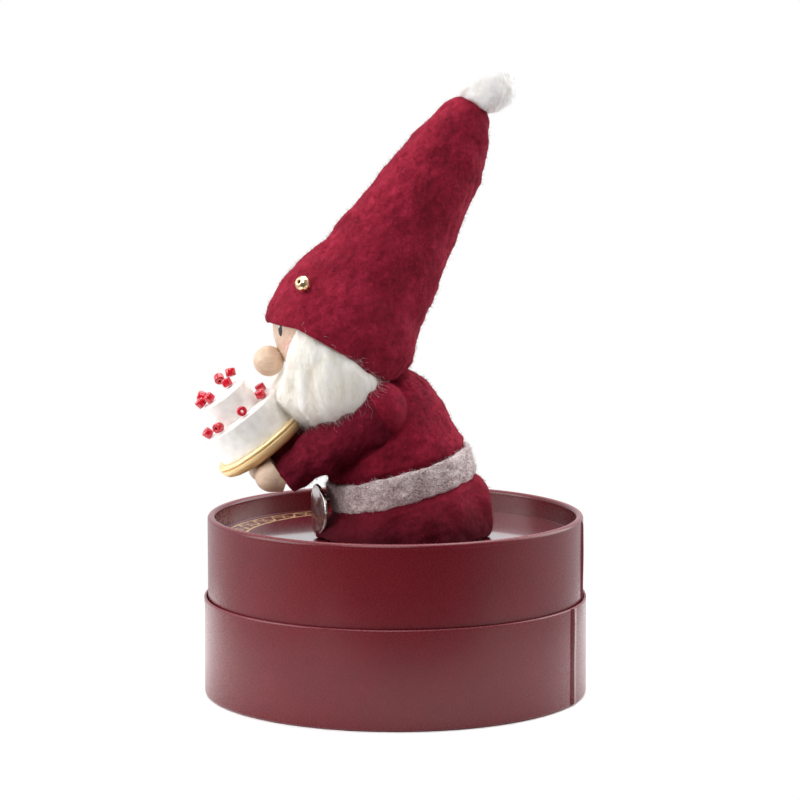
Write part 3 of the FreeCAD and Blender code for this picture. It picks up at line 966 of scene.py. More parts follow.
def fibres(roots: Array, normals: Array, flow: Array, style: FibreStyle,
           seed: int) -> tuple[Array, list[Array]]:
    """Grows thin three-sided fibres that taper to a tip.

    Args:
        roots: where they start.
        normals: unit vectors off the surface there.
        flow: unit vectors that they lie along.
        style: their lengths, thickness and habit.
        seed: seed of their random differences.

    Returns:
        Places and faces of one mesh.
    """
    rng = np.random.default_rng(seed)
    count = len(roots)
    length = rng.uniform(*style.length, (count, 1, 1))
    heading = unit(normals * style.lift + flow * (1 - style.lift)
                   + rng.normal(0, style.scatter, (count, 3)))
    side = unit(np.cross(heading, rng.normal(size=(count, 3))))
    other = np.cross(heading, side)
    t = np.linspace(0, 1, style.points)[None, :, None]
    phase = rng.uniform(0, 2 * math.pi, (count, 1, 1))
    bend = 2 * math.pi * t * length / style.wave + phase
    path = roots[:, None] + heading[:, None] * length * t
    path = path + style.curl * t * (np.sin(bend) * side[:, None] + np.cos(bend) * other[:, None])
    path = path + np.array([0.0, 0.0, -style.droop]) * length * t ** 2
    thickness = style.radius * (1 - 0.65 * t) * rng.uniform(0.7, 1.3, (count, 1, 1))
    turns = np.arange(3) * (2 * math.pi / 3)
    ring = (np.cos(turns)[None, None, :, None] * side[:, None, None]
            + np.sin(turns)[None, None, :, None] * other[:, None, None])
    places = path[:, :, None] + thickness[:, :, None] * ring
    base = np.arange(count)[:, None, None] * (3 * style.points)
    quads = base + grid_faces(style.points, 3)[None]
    root_ends = base[:, 0] + np.array([[2, 1, 0]])
    tip_ends = base[:, 0] + 3 * (style.points - 1) + np.array([[0, 1, 2]])
    return places.reshape(-1, 3), [quads.reshape(-1, 4), np.concatenate([root_ends, tip_ends])]


def nap(name: str, surface: Surface, count: int, style: FibreStyle, flow: Array | None,
        material: Material,
        keep: Array | None = None) -> bpy.types.Object:
    """Covers a surface in fibres as one piece.

    Args:
        name: the piece's name.
        surface: where the fibres grow.
        count: number of fibres.
        style: their habit.
        flow: one direction that they lie along, or None for every direction.
        material: their material.
        keep: share of each quad to grow on.

    Returns:
        The piece.
    """
    roots, normals = surface.roots(count, keep)
    rng = np.random.default_rng(surface.seed + 1)
    along = rng.normal(size=roots.shape) if flow is None else np.broadcast_to(flow, roots.shape)
    along = unit(along - normals * np.sum(along * normals, axis=1, keepdims=True))
    places, faces = fibres(roots, normals, along, style, surface.seed + 2)
    piece = make_piece(name, places, faces, material)
    return piece


FELT_HAIR = FibreStyle(length=(0.5, 1.3), radius=0.035, lift=0.42, scatter=0.35, curl=0.22,
                       wave=1.3)
STRAY_HAIR = FibreStyle(length=(1.2, 2.6), radius=0.02, lift=0.5, scatter=0.4, curl=0.5, wave=3.0,
                        points=7)


# ---- shared cloth ----
def shell(outer: Array, inner: Array, start_out: Array,
          end_out: Array) -> tuple[Array, list[Array]]:
    """Joins an outer and an inner face into one closed thickness, with rounded cut edges.

    Args:
        outer: rows of rings, from the first cut edge to the second.
        inner: the same rings on the inside.
        start_out: unit vectors off the first edge.
        end_out: unit vectors off the second edge.

    Returns:
        Places and faces; the outer rows come first.
    """
    far = rim(outer[-1], inner[-1], end_out)
    near = rim(inner[0], outer[0], start_out)
    rows = np.concatenate([outer, far, inner[::-1], near])
    return rows, [grid_faces(len(rows), rows.shape[1], loop_rows=True)]


# ---- round box ----
@dataclass
class BoardBox:
    """The two board halves that slip together, with paper wrapped round each."""

    edge_round: float = 0.9
    top_round: float = 0.4
    lap_lift: float = 0.55
    lap_angle: float = 3.6
    sleeve_seam: float = 55.8
    tube_seam: float = 70.5
    wrap: float = 0.9
    bead: float = 1.1
    cols: int = 720

    def wall(self, profile: Array, seam: float, height: tuple[float, float]) -> Array:
        """Turns a wall's profile and lifts the paper's free end where it laps over.

        Args:
            profile: rows of radius and height.
            seam: angle of the seam, in degrees from +X.
            height: lowest and highest place where the lap shows.

        Returns:
            A grid of places.
        """
        angle = around(self.cols)
        past = (np.degrees(angle) - seam) % 360
        lap = np.where(past < self.lap_angle, 1 - smooth(past / self.lap_angle), 0)
        crack = np.exp(-(((past - 359.55) / 0.35) ** 2))
        radius, level = profile.T
        outer = radius > radius.max() - 0.05
        tall = smooth((level - height[0]) / 2.0) * smooth((height[1] - level) / 2.0)
        uneven = 0.9 + 0.1 * np.sin(level / 3.1 + 1.0)
        shift = (self.lap_lift * lap[None] * uneven[:, None] - 0.5 * crack[None]) * tall[:, None]
        radius = radius[:, None] + shift * outer[:, None]
        return np.stack([radius * np.cos(angle), radius * np.sin(angle),
                         np.broadcast_to(level[:, None], radius.shape)], axis=-1)

    def levels(self, low: float, high: float, radius: float,
               count: int = 26) -> list[tuple[float, float]]:
        """Straight stretch of a wall's profile, with enough points to bend."""
        return [(radius, z) for z in np.linspace(low, high, count)]

    def build(self) -> None:
        """Builds the paper-covered sleeve and tube, and dresses the base disc in bare board."""
        _, high = box_mm("outer_sleeve_paper")
        outer, top = high[0], high[2]
        inner = outer - self.wrap
        sleeve = np.array([(inner, 0.3), (inner + 0.3, 0.0)]
                          + [(outer - self.edge_round * (1 - math.sin(t)),
                              self.edge_round * (1 - math.cos(t)))
                             for t in np.linspace(0, math.pi / 2, 6)]
                          + self.levels(self.edge_round + 0.5, top - self.top_round - 0.1, outer)
                          + [(outer - self.top_round * (1 - math.cos(t)),
                              top - self.top_round * (1 - math.sin(t)))
                             for t in np.linspace(0, math.pi / 2, 5)]
                          + [(inner + self.top_round, top), (inner, top - self.top_round)])
        paper = CoatedPaper("satin_printed_paper", edges_mm=(0.2, top)).build()
        points = self.wall(sleeve, self.sleeve_seam, (-1.0, top + 2.0))
        faces = [grid_faces(len(sleeve), self.cols, loop_rows=True)]
        piece = make_piece("outer_sleeve_wrap", points, faces, paper, Body.OUTER_BOX)
        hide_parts("outer_sleeve_paper", "outer_sleeve_board")
        self.build_tube()
        board = GreyBoard("grey_tube_board").build()
        dress("base_disc", board)

    def build_tube(self) -> None:
        """Builds the inner tube with its rolled rim."""
        low, high = box_mm("inner_tube_paper")
        _, rim_top = box_mm("inner_tube_board")
        outer, bottom = high[0], low[2]
        roll_z = rim_top[2] - self.bead
        roll_r = outer - self.bead
        bore = roll_r - self.bead + 0.02
        roll = [(roll_r + self.bead * math.cos(t), roll_z + self.bead * math.sin(t))
                for t in np.linspace(-0.25, math.pi - 0.1, 20)]
        tube = np.array([(bore + 0.1, bottom), (outer - 0.3, bottom), (outer, bottom + 0.3)]
                        + self.levels(bottom + 1.0, roll_z - 0.7, outer, 40)
                        + roll + self.levels(roll_z - 0.4, bottom + 1.0, bore, 12))
        paper = CoatedPaper("satin_rim_paper", edges_mm=(rim_top[2],)).build()
        points = self.wall(tube, self.tube_seam, (0.0, roll_z + 1.0))
        faces = [grid_faces(len(tube), self.cols, loop_rows=True)]
        piece = make_piece("inner_tube_wrap", points, faces, paper, Body.INNER_BOX)
        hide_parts("inner_tube_paper", "inner_tube_board")


@dataclass
class TopDisc:
    """Pan of laminated board that closes the box and carries the figure."""

    fillet: float = 1.0
    flange: float = 0.5
    board: float = 1.0
    sag: float = 0.12

    def build(self) -> None:
        """Builds the disc with its turned-up edge."""
        low, high = box_mm("top_disc")
        surface = low[2] + self.board
        outer, top = high[0], high[2]
        corners = [(0.01, surface, 0), (outer - self.flange, surface, self.fillet),
                   (outer - self.flange, top, 0.15), (outer, top, 0.15), (outer, low[2], 0.2),
                   (0.01, low[2], 0)]
        profile = rounded(corners)
        flat = [(r, surface) for r in np.linspace(0.5, outer - self.flange - self.fillet - 0.5, 40)]
        profile = np.concatenate([profile[:1], flat, profile[1:]])
        points = turned(profile, np.zeros(3), UPWARD, 240)
        inside = smooth((outer - 2 - np.hypot(points[..., 0], points[..., 1])) / 8)
        points[..., 2] -= self.sag * inside * (0.5 + 0.5 * ripple(points, 38.0, 5, 8)) * (
            np.arange(len(points)) < 50)[:, None]
        flat_points, faces = capped(points)
        film = LaminatedPrint("laminated_printed_board").build()
        piece = make_piece("laminated_disc", flat_points, faces, film, Body.INNER_BOX)
        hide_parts("top_disc")


# ---- coat and belt ----
@dataclass
class Arm:
    """Where one arm runs, read from the frame."""

    side: Side
    reach: tuple[float, float, float] = (3.5, 25.0, 19.0)
    shoulder_radius: float = 9.2
    wrist_radius: float = 4.7

    def line(self) -> tuple[Array, Array]:
        """Finds the arm's run.

        Returns:
            Middle of the shoulder and of the wrist, in millimetres.
        """
        node = "sleeve_" + self.side.word
        inward, forward, down = self.reach
        run = np.array([-self.side.value * inward, -forward, -down])
        wrist = end_middle(node, unit(run), 0.05)
        return wrist - run, wrist

    def distance(self, points: Array) -> Array:
        """Distance from the sleeve's own surface.

        Args:
            points: places in millimetres.

        Returns:
            How far outside it each place is.
        """
        shoulder, wrist = self.line()
        run = wrist - shoulder
        share = np.clip((points - shoulder) @ run / (run @ run), 0, 1)
        nearest = shoulder + share[..., None] * run
        radius = self.shoulder_radius + share * (self.wrist_radius - self.shoulder_radius)
        return np.linalg.norm(points - nearest, axis=-1) - radius


@dataclass
class FeltCoat:
    """Felt coat: gathered under the belt, loose over it, open at the neck."""

    felt: float = 1.5
    waist_lean: float = 15.5
    neck_lean: float = 33.0
    rows: int = 150
    cols: int = 260
    belt_half: float = 4.3
    puff: float = 0.8
    back_puff: float = -1.2
    fold: float = 0.55
    crease: float = 0.9
    cap_cover: float = 0.45
    hunch: float = 0.62
    core_depth: float = 1.25
    hairs: tuple[int, int] = (7500, 150)
    seed: int = 11
    arms: tuple[Arm, ...] = (Arm(Side.LEFT), Arm(Side.RIGHT))

    def levels(self) -> tuple[Array, Array]:
        """Sets out the rows from the hem to the neck edge.

        Returns:
            Centre and lean in degrees of every row.
        """
        hem = end_middle("coat", np.array([0.0, 0.0, -1.0]))
        waist = middle_mm("belt")
        neck = end_middle("coat", leaning(self.neck_lean)[0])
        share = np.linspace(0, 1, self.rows)
        tie = (waist[2] - hem[2]) / (neck[2] - hem[2])
        z = hem[2] + share * (neck[2] - hem[2])
        half = (waist[1] + neck[1]) / 2 + self.hunch
        y = through(((hem[2], hem[1]), (waist[2], waist[1]),
                     ((waist[2] + neck[2]) / 2, half), (neck[2], neck[1])), z)
        lean = np.where(share < tie, self.waist_lean * share / tie,
                        self.waist_lean + (self.neck_lean - self.waist_lean)
                        * np.clip((share - tie) / (1 - tie), 0, 1) ** 1.6)
        return np.stack([np.zeros_like(y), y, z], axis=-1), lean

    def cad_outline(self, centres: Array, lean: Array) -> Array:
        """Outer radius of the CAD coat at every place of the grid.

        Args:
            centres: middle of every row.
            lean: lean of every row in degrees.

        Returns:
            Radius for each row and column.
        """
        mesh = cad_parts["coat"].data
        tree = BVHTree.FromPolygons([v.co / MM for v in mesh.vertices],
                                    [p.vertices for p in mesh.polygons])
        angle = around(self.cols)
        radius = np.full((self.rows, self.cols), np.nan)
        for i, (centre, degrees) in enumerate(zip(centres, lean)):
            along, across = leaning(degrees)
            inset = along * (0.06 if i == 0 else -0.06 if i == self.rows - 1 else 0.0)
            for j, turn in enumerate(angle):
                ray = np.array([math.sin(turn), 0, 0]) - math.cos(turn) * across
                hit = tree.ray_cast(Vector(centre + inset + 60 * ray), Vector(-ray), 60.0)
                if hit[0] is not None:
                    radius[i, j] = 60 - hit[3]
        for i in range(self.rows):
            gaps = np.isnan(radius[i])
            if gaps.all():
                radius[i] = radius[i - 1]
            elif gaps.any():
                radius[i, gaps] = np.interp(angle[gaps], angle[~gaps], radius[i, ~gaps],
                                            period=2 * math.pi)
        return radius

    def over_shoulders(self, centres: Array, rays: Array,
                       radius: Array) -> Array:
        """Draws the coat over the back of each shoulder, as far as the armhole.

        Args:
            centres: middle of every row.
            rays: outward unit vectors of the grid.
            radius: the coat's radius without the shoulders.

        Returns:
            The coat's radius with them.
        """
        covered = radius.copy()
        for arm in self.arms:
            shoulder, wrist = arm.line()
            back = unit(shoulder - wrist)
            ball = arm.shoulder_radius * 0.95 + self.cap_cover
            to_ball = shoulder - centres
            along = np.sum(rays * to_ball, axis=-1)
            off = np.sum(to_ball ** 2, axis=-1) - along ** 2
            reach = along + np.sqrt(np.maximum(ball ** 2 - off, 0.0))
            hit = centres + rays * reach[..., None]
            behind = (hit - shoulder) @ back
            wanted = reach - 1.1 * np.exp(-((behind / 1.3) ** 2))
            over = (off < ball ** 2) & (behind > -0.2) & (along > 0)
            covered = np.where(over, np.maximum(covered, wanted), covered)
        for _ in range(3):
            near = (np.roll(covered, 1, 1) + np.roll(covered, -1, 1)) / 2
            covered = 0.5 * covered + 0.5 * near
            covered[1:-1] = 0.5 * covered[1:-1] + 0.25 * (covered[:-2] + covered[2:])
        raised = smooth((covered - radius - 0.05) / 0.3)
        return radius + (covered - radius) * raised

    def build(self) -> None:
        """Builds the coat and its fuzz."""
        centres, lean = self.levels()
        along, across = leaning(lean)
        angle = around(self.cols)
        rays = (np.sin(angle)[None, :, None] * LEFTWARD
                - np.cos(angle)[None, :, None] * across[:, None])
        drawn = self.cad_outline(centres, lean)
        bare = centres[:, None] + rays * drawn[..., None]
        belt_along, _ = leaning(self.waist_lean)
        off_belt = (bare - middle_mm("belt")) @ belt_along
        clear = np.abs(off_belt) - self.belt_half
        backward = 0.5 - 0.5 * np.cos(angle)[None]
        # The cloth stands out over the belt's edges and lies close over the back.
        puff = self.puff * smooth(clear / 2.2) * np.exp(-np.maximum(clear, 0) / 7)
        puff += self.back_puff * smooth(clear / 7) * smooth((34 - off_belt) / 8) * (
            backward * (off_belt > 0))
        skirt = smooth(-(off_belt + self.belt_half) / 4.5)
        gathers = (np.sin(7 * angle + 0.6) + 0.7 * np.sin(11 * angle + 2.1)
                   + 0.6 * np.sin(4 * angle + 1.3))[None]
        folds = self.fold * skirt * gathers * (0.45 + 0.55 * smooth((bare[..., 2] - 45) / 9))
        chest = smooth((off_belt - self.belt_half) / 3) * smooth((28 - off_belt) / 12)
        drape = 0.22 * chest * np.sin(5 * angle[None] + off_belt / 4.2 + 0.8)
        off_belt_soft = smooth(clear / 1.5)
        texture = lumps(bare, self.seed, (11.0, 0.32), (4.5, 0.16), (1.9, 0.07)) * off_belt_soft
        crease = sum(np.exp(-(((arm.distance(bare) - 0.8) / 1.2) ** 2)) for arm in self.arms)
        radius = drawn + puff + folds + drape + texture - self.crease * crease
        # It never sinks as far as the wooden core that it is drawn over.
        radius = np.maximum(radius, drawn - self.core_depth)
        radius = self.over_shoulders(centres[:, None], rays, radius)
        outer = centres[:, None] + rays * radius[..., None]
        inner = centres[:, None] + rays * (radius - self.felt)[..., None]
        hem_out = np.broadcast_to(np.array([0.0, 0.0, -1.0]), outer[0].shape)
        neck_out = np.broadcast_to(along[-1], outer[0].shape)
        outer[:2, :, 2] = np.maximum(outer[:2, :, 2], outer[0, :, 2].min() + self.felt / 2)
        inner[:2, :, 2] = np.maximum(inner[:2, :, 2], outer[0, :, 2].min() + self.felt / 2)
        # Painted shade darkens the skirt downwards from 66 mm to 46 mm, for the shadow under belt
        # and arms.
        cloth = WoolFelt("piece_dyed_wool_felt", painted_shade_mm=(46.0, 66.0)).build()
        points, faces = shell(outer, inner, hem_out, neck_out)
        coat = make_piece("felt_coat", points, faces, cloth)
        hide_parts("coat")
        surface = Surface(outer, grid_faces(self.rows, self.cols), self.seed)
        hair = WoolFelt("loose_felt_hair", deep="#601024", dyed="#8a1e34", raised="#ab2f4a").build()
        nap("coat_hair", surface, self.hairs[0], FELT_HAIR, None, hair)
        nap("coat_stray_hair", surface, self.hairs[1], STRAY_HAIR, None, hair)


@dataclass
class FeltBelt:
    """Strip of heathered felt, cut with raw edges and drawn tight round the waist."""

    lean: float = 15.5
    radius: float = 21.6
    inner: float = 19.68
    width: float = 8.2
    rows: int = 22
    cols: int = 330
    hairs: int = 4200
    seed: int = 31

    def build(self) -> None:
        """Builds the belt and its fuzz."""
        along, across = leaning(self.lean)
        centre = middle_mm("belt")
        angle = around(self.cols)
        ray = np.sin(angle)[:, None] * LEFTWARD - np.cos(angle)[:, None] * across
        share = np.linspace(-1, 1, self.rows)[:, None]
        cut = self.width / 2 - 0.45
        edge = 0.16 * np.sin(5 * angle + 1) + 0.12 * np.sin(13 * angle) + 0.08 * np.sin(29 * angle)
        height = share * cut + np.where(share > 0, 1, -1) * np.abs(share) * edge[None]
        base = centre + ray[None] * self.radius + height[..., None] * along
        swell = -0.28 * np.abs(share) ** 3 + 0.1 * np.sin(6 * angle + 1.7)[None]
        swell = swell + lumps(base, self.seed, (7.0, 0.12), (2.4, 0.08), (1.1, 0.05))
        outer = base + ray[None] * (swell - 0.25)[..., None]
        inner = centre + ray[None] * self.inner + height[..., None] * along
        up = np.broadcast_to(along, outer[0].shape)
        points, faces = shell(outer, inner, -up, up)
        belt = make_piece("felt_belt", points, faces, HeatheredFelt("heathered_belt_felt").build())
        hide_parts("belt")
        surface = Surface(points, grid_faces(self.rows + 4, self.cols), self.seed)
        hair = HeatheredFelt("belt_hair", dark="#8a7674", middle="#d8cac7", pale="#f3ebe8").build()
        nap("belt_hair", surface, self.hairs, FELT_HAIR, None, hair)


@dataclass
class Buckle:
    """Round pressed plate with a turned-over rim, and the prong that holds the belt's end."""

    turn: float = 9.0
    thickness: float = 0.7
    rim_height: float = 0.82
    rim_width: float = 0.8
    bow: float = 1.1

    def build(self) -> None:
        """Builds the plate, and dresses its shank and prong."""
        steel = PolishedMetal("pressed_bright_steel").build()
        low, high = box_mm("buckle_plate")
        radius = (high[2] - low[2]) / 2
        face = math.radians(self.turn)
        facing = np.array([math.sin(face), -math.cos(face), 0.0])
        sideways = np.array([math.cos(face), math.sin(face), 0.0])
        centre = (low + high) / 2 - facing * self.thickness / 2
        lip = radius - self.rim_width
        front = [(0.01, self.thickness, 0), (lip - 0.5, self.thickness, 0.4),
                 (lip, self.rim_height, 0.2), (radius - 0.3, self.rim_height, 0.25),
                 (radius, 0.35, 0.25), (radius - 0.3, 0.0, 0.15), (0.01, 0.0, 0)]
        points = turned(subdivided(rounded(front), 4), centre, facing, 120)
        across = (points - centre) @ sideways
        upward = (points - centre) @ UPWARD
        bend = self.bow * ((across / radius) ** 2 + 0.35 * (upward / radius) ** 2)
        points = points - facing * bend[..., None]
        points += facing * 0.07 * ripple(points, 4.0, 41)[..., None]
        flat, faces = capped(points)
        plate = make_piece("round_buckle", flat, faces, steel)
        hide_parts("buckle_plate")
        dress("buckle_shank", steel)
        dress("buckle_prong", steel)


@dataclass
class FeltArm:
    """One felt sleeve, from a full shoulder down to a narrow raw cuff."""

    side: Side
    felt: float = 1.4
    shoulder_round: float = 0.95
    armhole: float = 0.15
    rows: int = 96
    cols: int = 130
    hairs: tuple[int, int] = (3000, 110)
    seed: int = 51

    def build(self) -> None:
        """Builds the sleeve and its fuzz."""
        arm = Arm(self.side)
        shoulder, wrist = arm.line()
        run = shoulder - wrist
        length = float(np.linalg.norm(run))
        axis = run / length
        cap = arm.shoulder_radius * self.shoulder_round
        upward = unit(UPWARD - axis * axis[2])
        outward = np.cross(axis, upward)
        angle = around(self.cols)
        ray = np.cos(angle)[:, None] * upward + np.sin(angle)[:, None] * outward
        straight = np.linspace(0.4, length, self.rows - 24)
        dome = np.linspace(0, math.pi / 2, 25)[1:]
        along = np.concatenate([straight, length + cap * np.sin(dome)])
        radius = np.concatenate([arm.wrist_radius + (cap - arm.wrist_radius) * (straight / length),
                                 cap * np.maximum(np.cos(dome), 0.01)])
        full = 0.55 * np.sin(np.pi * np.clip(along / length, 0, 1))
        full -= self.armhole * np.exp(-(((along - length) / 1.5) ** 2))
        radius = radius + full
        bare = wrist + along[:, None, None] * axis + radius[:, None, None] * ray[None]
        under = 0.5 - 0.5 * np.cos(angle)[None]
        bent = smooth(along / 6)[:, None] * smooth((length - along + 4) / 8)[:, None]
        folds = 0.32 * bent * (0.3 + 0.7 * under) * np.sin(
            along[:, None] / 1.35 + 1.5 * np.sin(angle + self.side.value)[None])
        seed = self.seed + self.side.value
        texture = lumps(bare, seed, (8.0, 0.25), (3.6, 0.15), (1.7, 0.07))
        fade = np.minimum(radius / 3, 1)[:, None]
        shift = (folds + texture) * fade
        outer = bare + ray[None] * shift[..., None]
        inner_radius = np.maximum(radius - self.felt, 0.01)
        inner_along = np.minimum(along, length + cap - self.felt)
        inner = wrist + inner_along[:, None, None] * axis + inner_radius[:, None, None] * ray[None]
        inner = inner + ray[None] * (shift * np.minimum(inner_radius / 4, 1)[:, None])[..., None]
        cuff = rim(inner[0], outer[0], np.broadcast_to(-axis, outer[0].shape))
        rows = np.concatenate([inner[::-1], cuff, outer])
        points, faces = capped(rows)
        node = "sleeve_" + self.side.word
        cloth = WoolFelt("sleeve_wool_felt_" + self.side.word, deep="#3b0813",
                         dyed="#691125", raised="#8f2038").build()
        sleeve = make_piece("felt_" + node, points, faces, cloth)
        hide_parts(node)
        "arm_core_" + self.side.word
        surface = Surface(outer, grid_faces(self.rows, self.cols), seed)
        hair = WoolFelt("sleeve_hair_" + self.side.word, deep="#6a1020", dyed="#8e1e2c",
                        raised="#ac3045").build()
        nap("hair_" + node, surface, self.hairs[0], FELT_HAIR, None, hair)
        nap("stray_hair_" + node, surface, self.hairs[1], STRAY_HAIR, None, hair)


# ---- head ----
def facing(alpha: float | Array, beta: float | Array) -> Array:
    """Direction from the head's centre.

    Args:
        alpha: degrees from the front towards the figure's left.
        beta: degrees above the level.

    Returns:
        Unit vectors.
    """
    a, b = np.radians(alpha), np.radians(beta)
    return np.stack([np.sin(a) * np.cos(b), -np.cos(a) * np.cos(b), np.sin(b) + 0 * a], axis=-1)


@dataclass
class WoodenHead:
    """Turned head and nose, with painted eyes and rouged cheeks."""

    radius: float = 17.5
    eye_turn: float = 21.5
    eye_drop: float = -1.6
    eye_half: tuple[float, float] = (1.15, 1.85)
    eye_rise: float = 0.16
    cheek_turn: float = 35.5
    cheek_drop: float = -21.0
    glint_half: tuple[float, float] = (0.42, 0.5)

    def dab(self, name: str, turn: float, drop: float, half: tuple[float, float], rise: float,
            finish: Material) -> None:
        """Builds one raised dab of paint on the head.

        Args:
            name: the piece's name.
            turn: degrees from the front.
            drop: degrees above the level.
            half: half width and half height.
            rise: height of its middle above the wood.
            finish: its material.
        """
        centre = middle_mm("head")
        out = facing(turn, drop)
        side = unit(np.cross([0.0, 0.0, 1.0], out))
        up = np.cross(out, side)
        share = np.linspace(0.02, 1, 12)[:, None]
        angle = around(40)[None]
        x = share * half[0] * np.cos(angle)
        y = share * half[1] * np.sin(angle)
        sphere = np.sqrt(self.radius ** 2 - x ** 2 - y ** 2)
        lifted = sphere + rise * np.sqrt(1.0001 - share ** 2) - 0.02 * (share > 0.99)
        top = centre + x[..., None] * side + y[..., None] * up + lifted[..., None] * out
        below = centre + x[..., None] * side + y[..., None] * up + (sphere - 0.3)[..., None] * out
        points, faces = capped(np.concatenate([below, top[::-1]]))
        make_piece(name, points, faces, finish)

    def build(self) -> None:
        """Dresses the wooden parts and paints the face."""
        centre = middle_mm("head") * MM
        reach = self.radius * MM
        spots = tuple(tuple(centre + reach * facing(side * self.cheek_turn, self.cheek_drop))
                      for side in (1, -1))
        dress("head", TurnedBeech("waxed_beech_with_rouge", wood="#d9bba4", grain="#c9a68c",
                                  rouge="#e2908f", rouge_spots=spots).build())
        beech = TurnedBeech("waxed_beech", wood="#d9bda5", grain="#cfb095",
                            fleck="#bf987a").build()
        dress("nose", beech)
        for node in ("hand_left", "hand_right"):
            dress(node, beech)
        core = TurnedBeech("unfinished_core_wood", wood="#d9bd98", grain="#c2a27b").build()
        for node in ("nose_pin", "neck_dowel", "body_core", "arm_core_left", "arm_core_right"):
            dress(node, core)
        dark = Lacquer("black_eye_paint", colour="#0c0908", thin="#120d0b", ripple_mm=1.0,
                       gloss=0.45, clear=0.0).build()
        white = Lacquer("white_eye_glint", colour="#ffffff", thin="#f2f2f2").build()
        for side in Side:
            self.dab("eye_" + side.word, side.value * self.eye_turn, self.eye_drop,
                     self.eye_half, self.eye_rise, dark)
            self.dab("eye_glint_" + side.word, side.value * (self.eye_turn - 1.6),
                     self.eye_drop + 3.0, self.glint_half, self.eye_rise + 0.14, white)


# ---- beard ----
@dataclass
class WoolBeard:
    """Carded wool glued from cheek to cheek, full under the chin and wispy at its end.

    Its outline is given by direction from the head's centre: how high the wool reaches round
    the face, and how far it stands out at each height.
    """

    edge: tuple[tuple[float, float], ...] = (
        (0, -40), (12, -39), (24, -34), (31, -27), (36.5, -17), (40.5, -8), (44, 1), (49, 6),
        (60, 6), (70, 1), (80, -4), (90, -10), (105, -19), (116, -26), (127, -37), (140, -55),
        (160, -72), (181, -76))
    fullness: tuple[tuple[float, float], ...] = (
        (-91, 29.0), (-75, 30.0), (-62, 30.6), (-50, 29.8), (-40, 27.0), (-30, 24.4), (-18, 22.0),
        (-8, 20.4), (0, 19.4), (20, 19.0))
    chin: float = -1.6
    sunk: float = 16.7
    ramp: float = 13.0
    rows: int = 170
    cols: int = 330
    strands: int = 5000
    fluff: int = 7600
    wisps: int = 900
    seed: int = 71

    def radius(self, alpha: Array, beta: Array) -> tuple[Array, Array]:
        """Radius of the wool, and how fully it grows.

        Args:
            alpha: degrees from the front.
            beta: degrees above the level.

        Returns:
            Radius in millimetres and a share from 0, bare, to 1.
        """
        top = through(self.edge, np.abs(alpha))
        step = 0.5
        slope = (through(self.edge, np.abs(alpha) + step) - top) / step
        inside = (top - beta) / np.sqrt(1 + slope ** 2)
        grown = 1 - (1 - np.clip(inside / self.ramp, 0, 1)) ** 2.4
        full = through(self.fullness, beta)
        full = full + self.chin * np.cos(np.radians(np.clip(alpha, -90, 90))) ** 2 * smooth(
            (-30 - beta) / 14) * smooth((90 + beta) / 20)
        return self.sunk + (full - self.sunk) * grown, grown

    def build(self) -> None:
        """Builds the fleece, its strands, fluff and loose wisps."""
        centre = middle_mm("head")
        beta = np.linspace(-89, 16, self.rows)[:, None]
        alpha = np.linspace(-180, 180, self.cols, endpoint=False)[None]
        alpha, beta = np.broadcast_arrays(alpha, beta)
        radius, grown = self.radius(alpha, beta)
        rays = facing(alpha, beta)
        bare = centre + rays * radius[..., None]
        combed = bare * np.array([1.0, 0.75, 0.38])
        locks = lumps(combed, self.seed, (6.5, 0.38), (3.0, 0.20), (1.4, 0.09))
        points = bare + rays * (locks * smooth(grown * 2))[..., None]
        wool = CardedWool("carded_white_wool").build()
        flat, faces = capped(points[::-1])
        fleece = make_piece("wool_beard", flat, faces, wool)
        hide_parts("beard")
        quads = grid_faces(self.rows, self.cols)
        surface = Surface(points, quads[:, ::-1], self.seed)
        share = grown.reshape(-1)[quads].mean(axis=1)
        keep = np.where(share > 0.12, 1.0, 0.0)
        strand = CardedWool("combed_wool_strands", shade="#fdf6ea", fleece="#fffbf2").build()
        combing = np.array([0.0, 0.32, -1.0])
        long_strand = FibreStyle(length=(2.5, 6.5), radius=0.030, lift=0.12, scatter=0.3,
                                 curl=0.7, wave=4.0, points=7, droop=0.05)
        fluff = FibreStyle(length=(0.8, 2.2), radius=0.028, lift=0.45, scatter=0.5, curl=0.4,
                           wave=2.0)
        wisp = FibreStyle(length=(3.0, 6.0), radius=0.03, lift=0.35, scatter=0.35, curl=0.9,
                          wave=5.0, points=9, droop=0.2)
        for layer in range(2):
            surface.seed = self.seed + 10 * layer
            nap(f"beard_strands_{layer + 1}", surface, self.strands, long_strand, combing,
                strand, keep)
        nap("beard_fluff", surface, self.fluff, fluff, None, strand, keep)
        low = np.where((beta.reshape(-1)[quads].mean(axis=1) < -34) & (share > 0.5), 1.0, 0.0)
        nap("beard_wisps", surface, self.wisps, wisp, combing, strand, low)


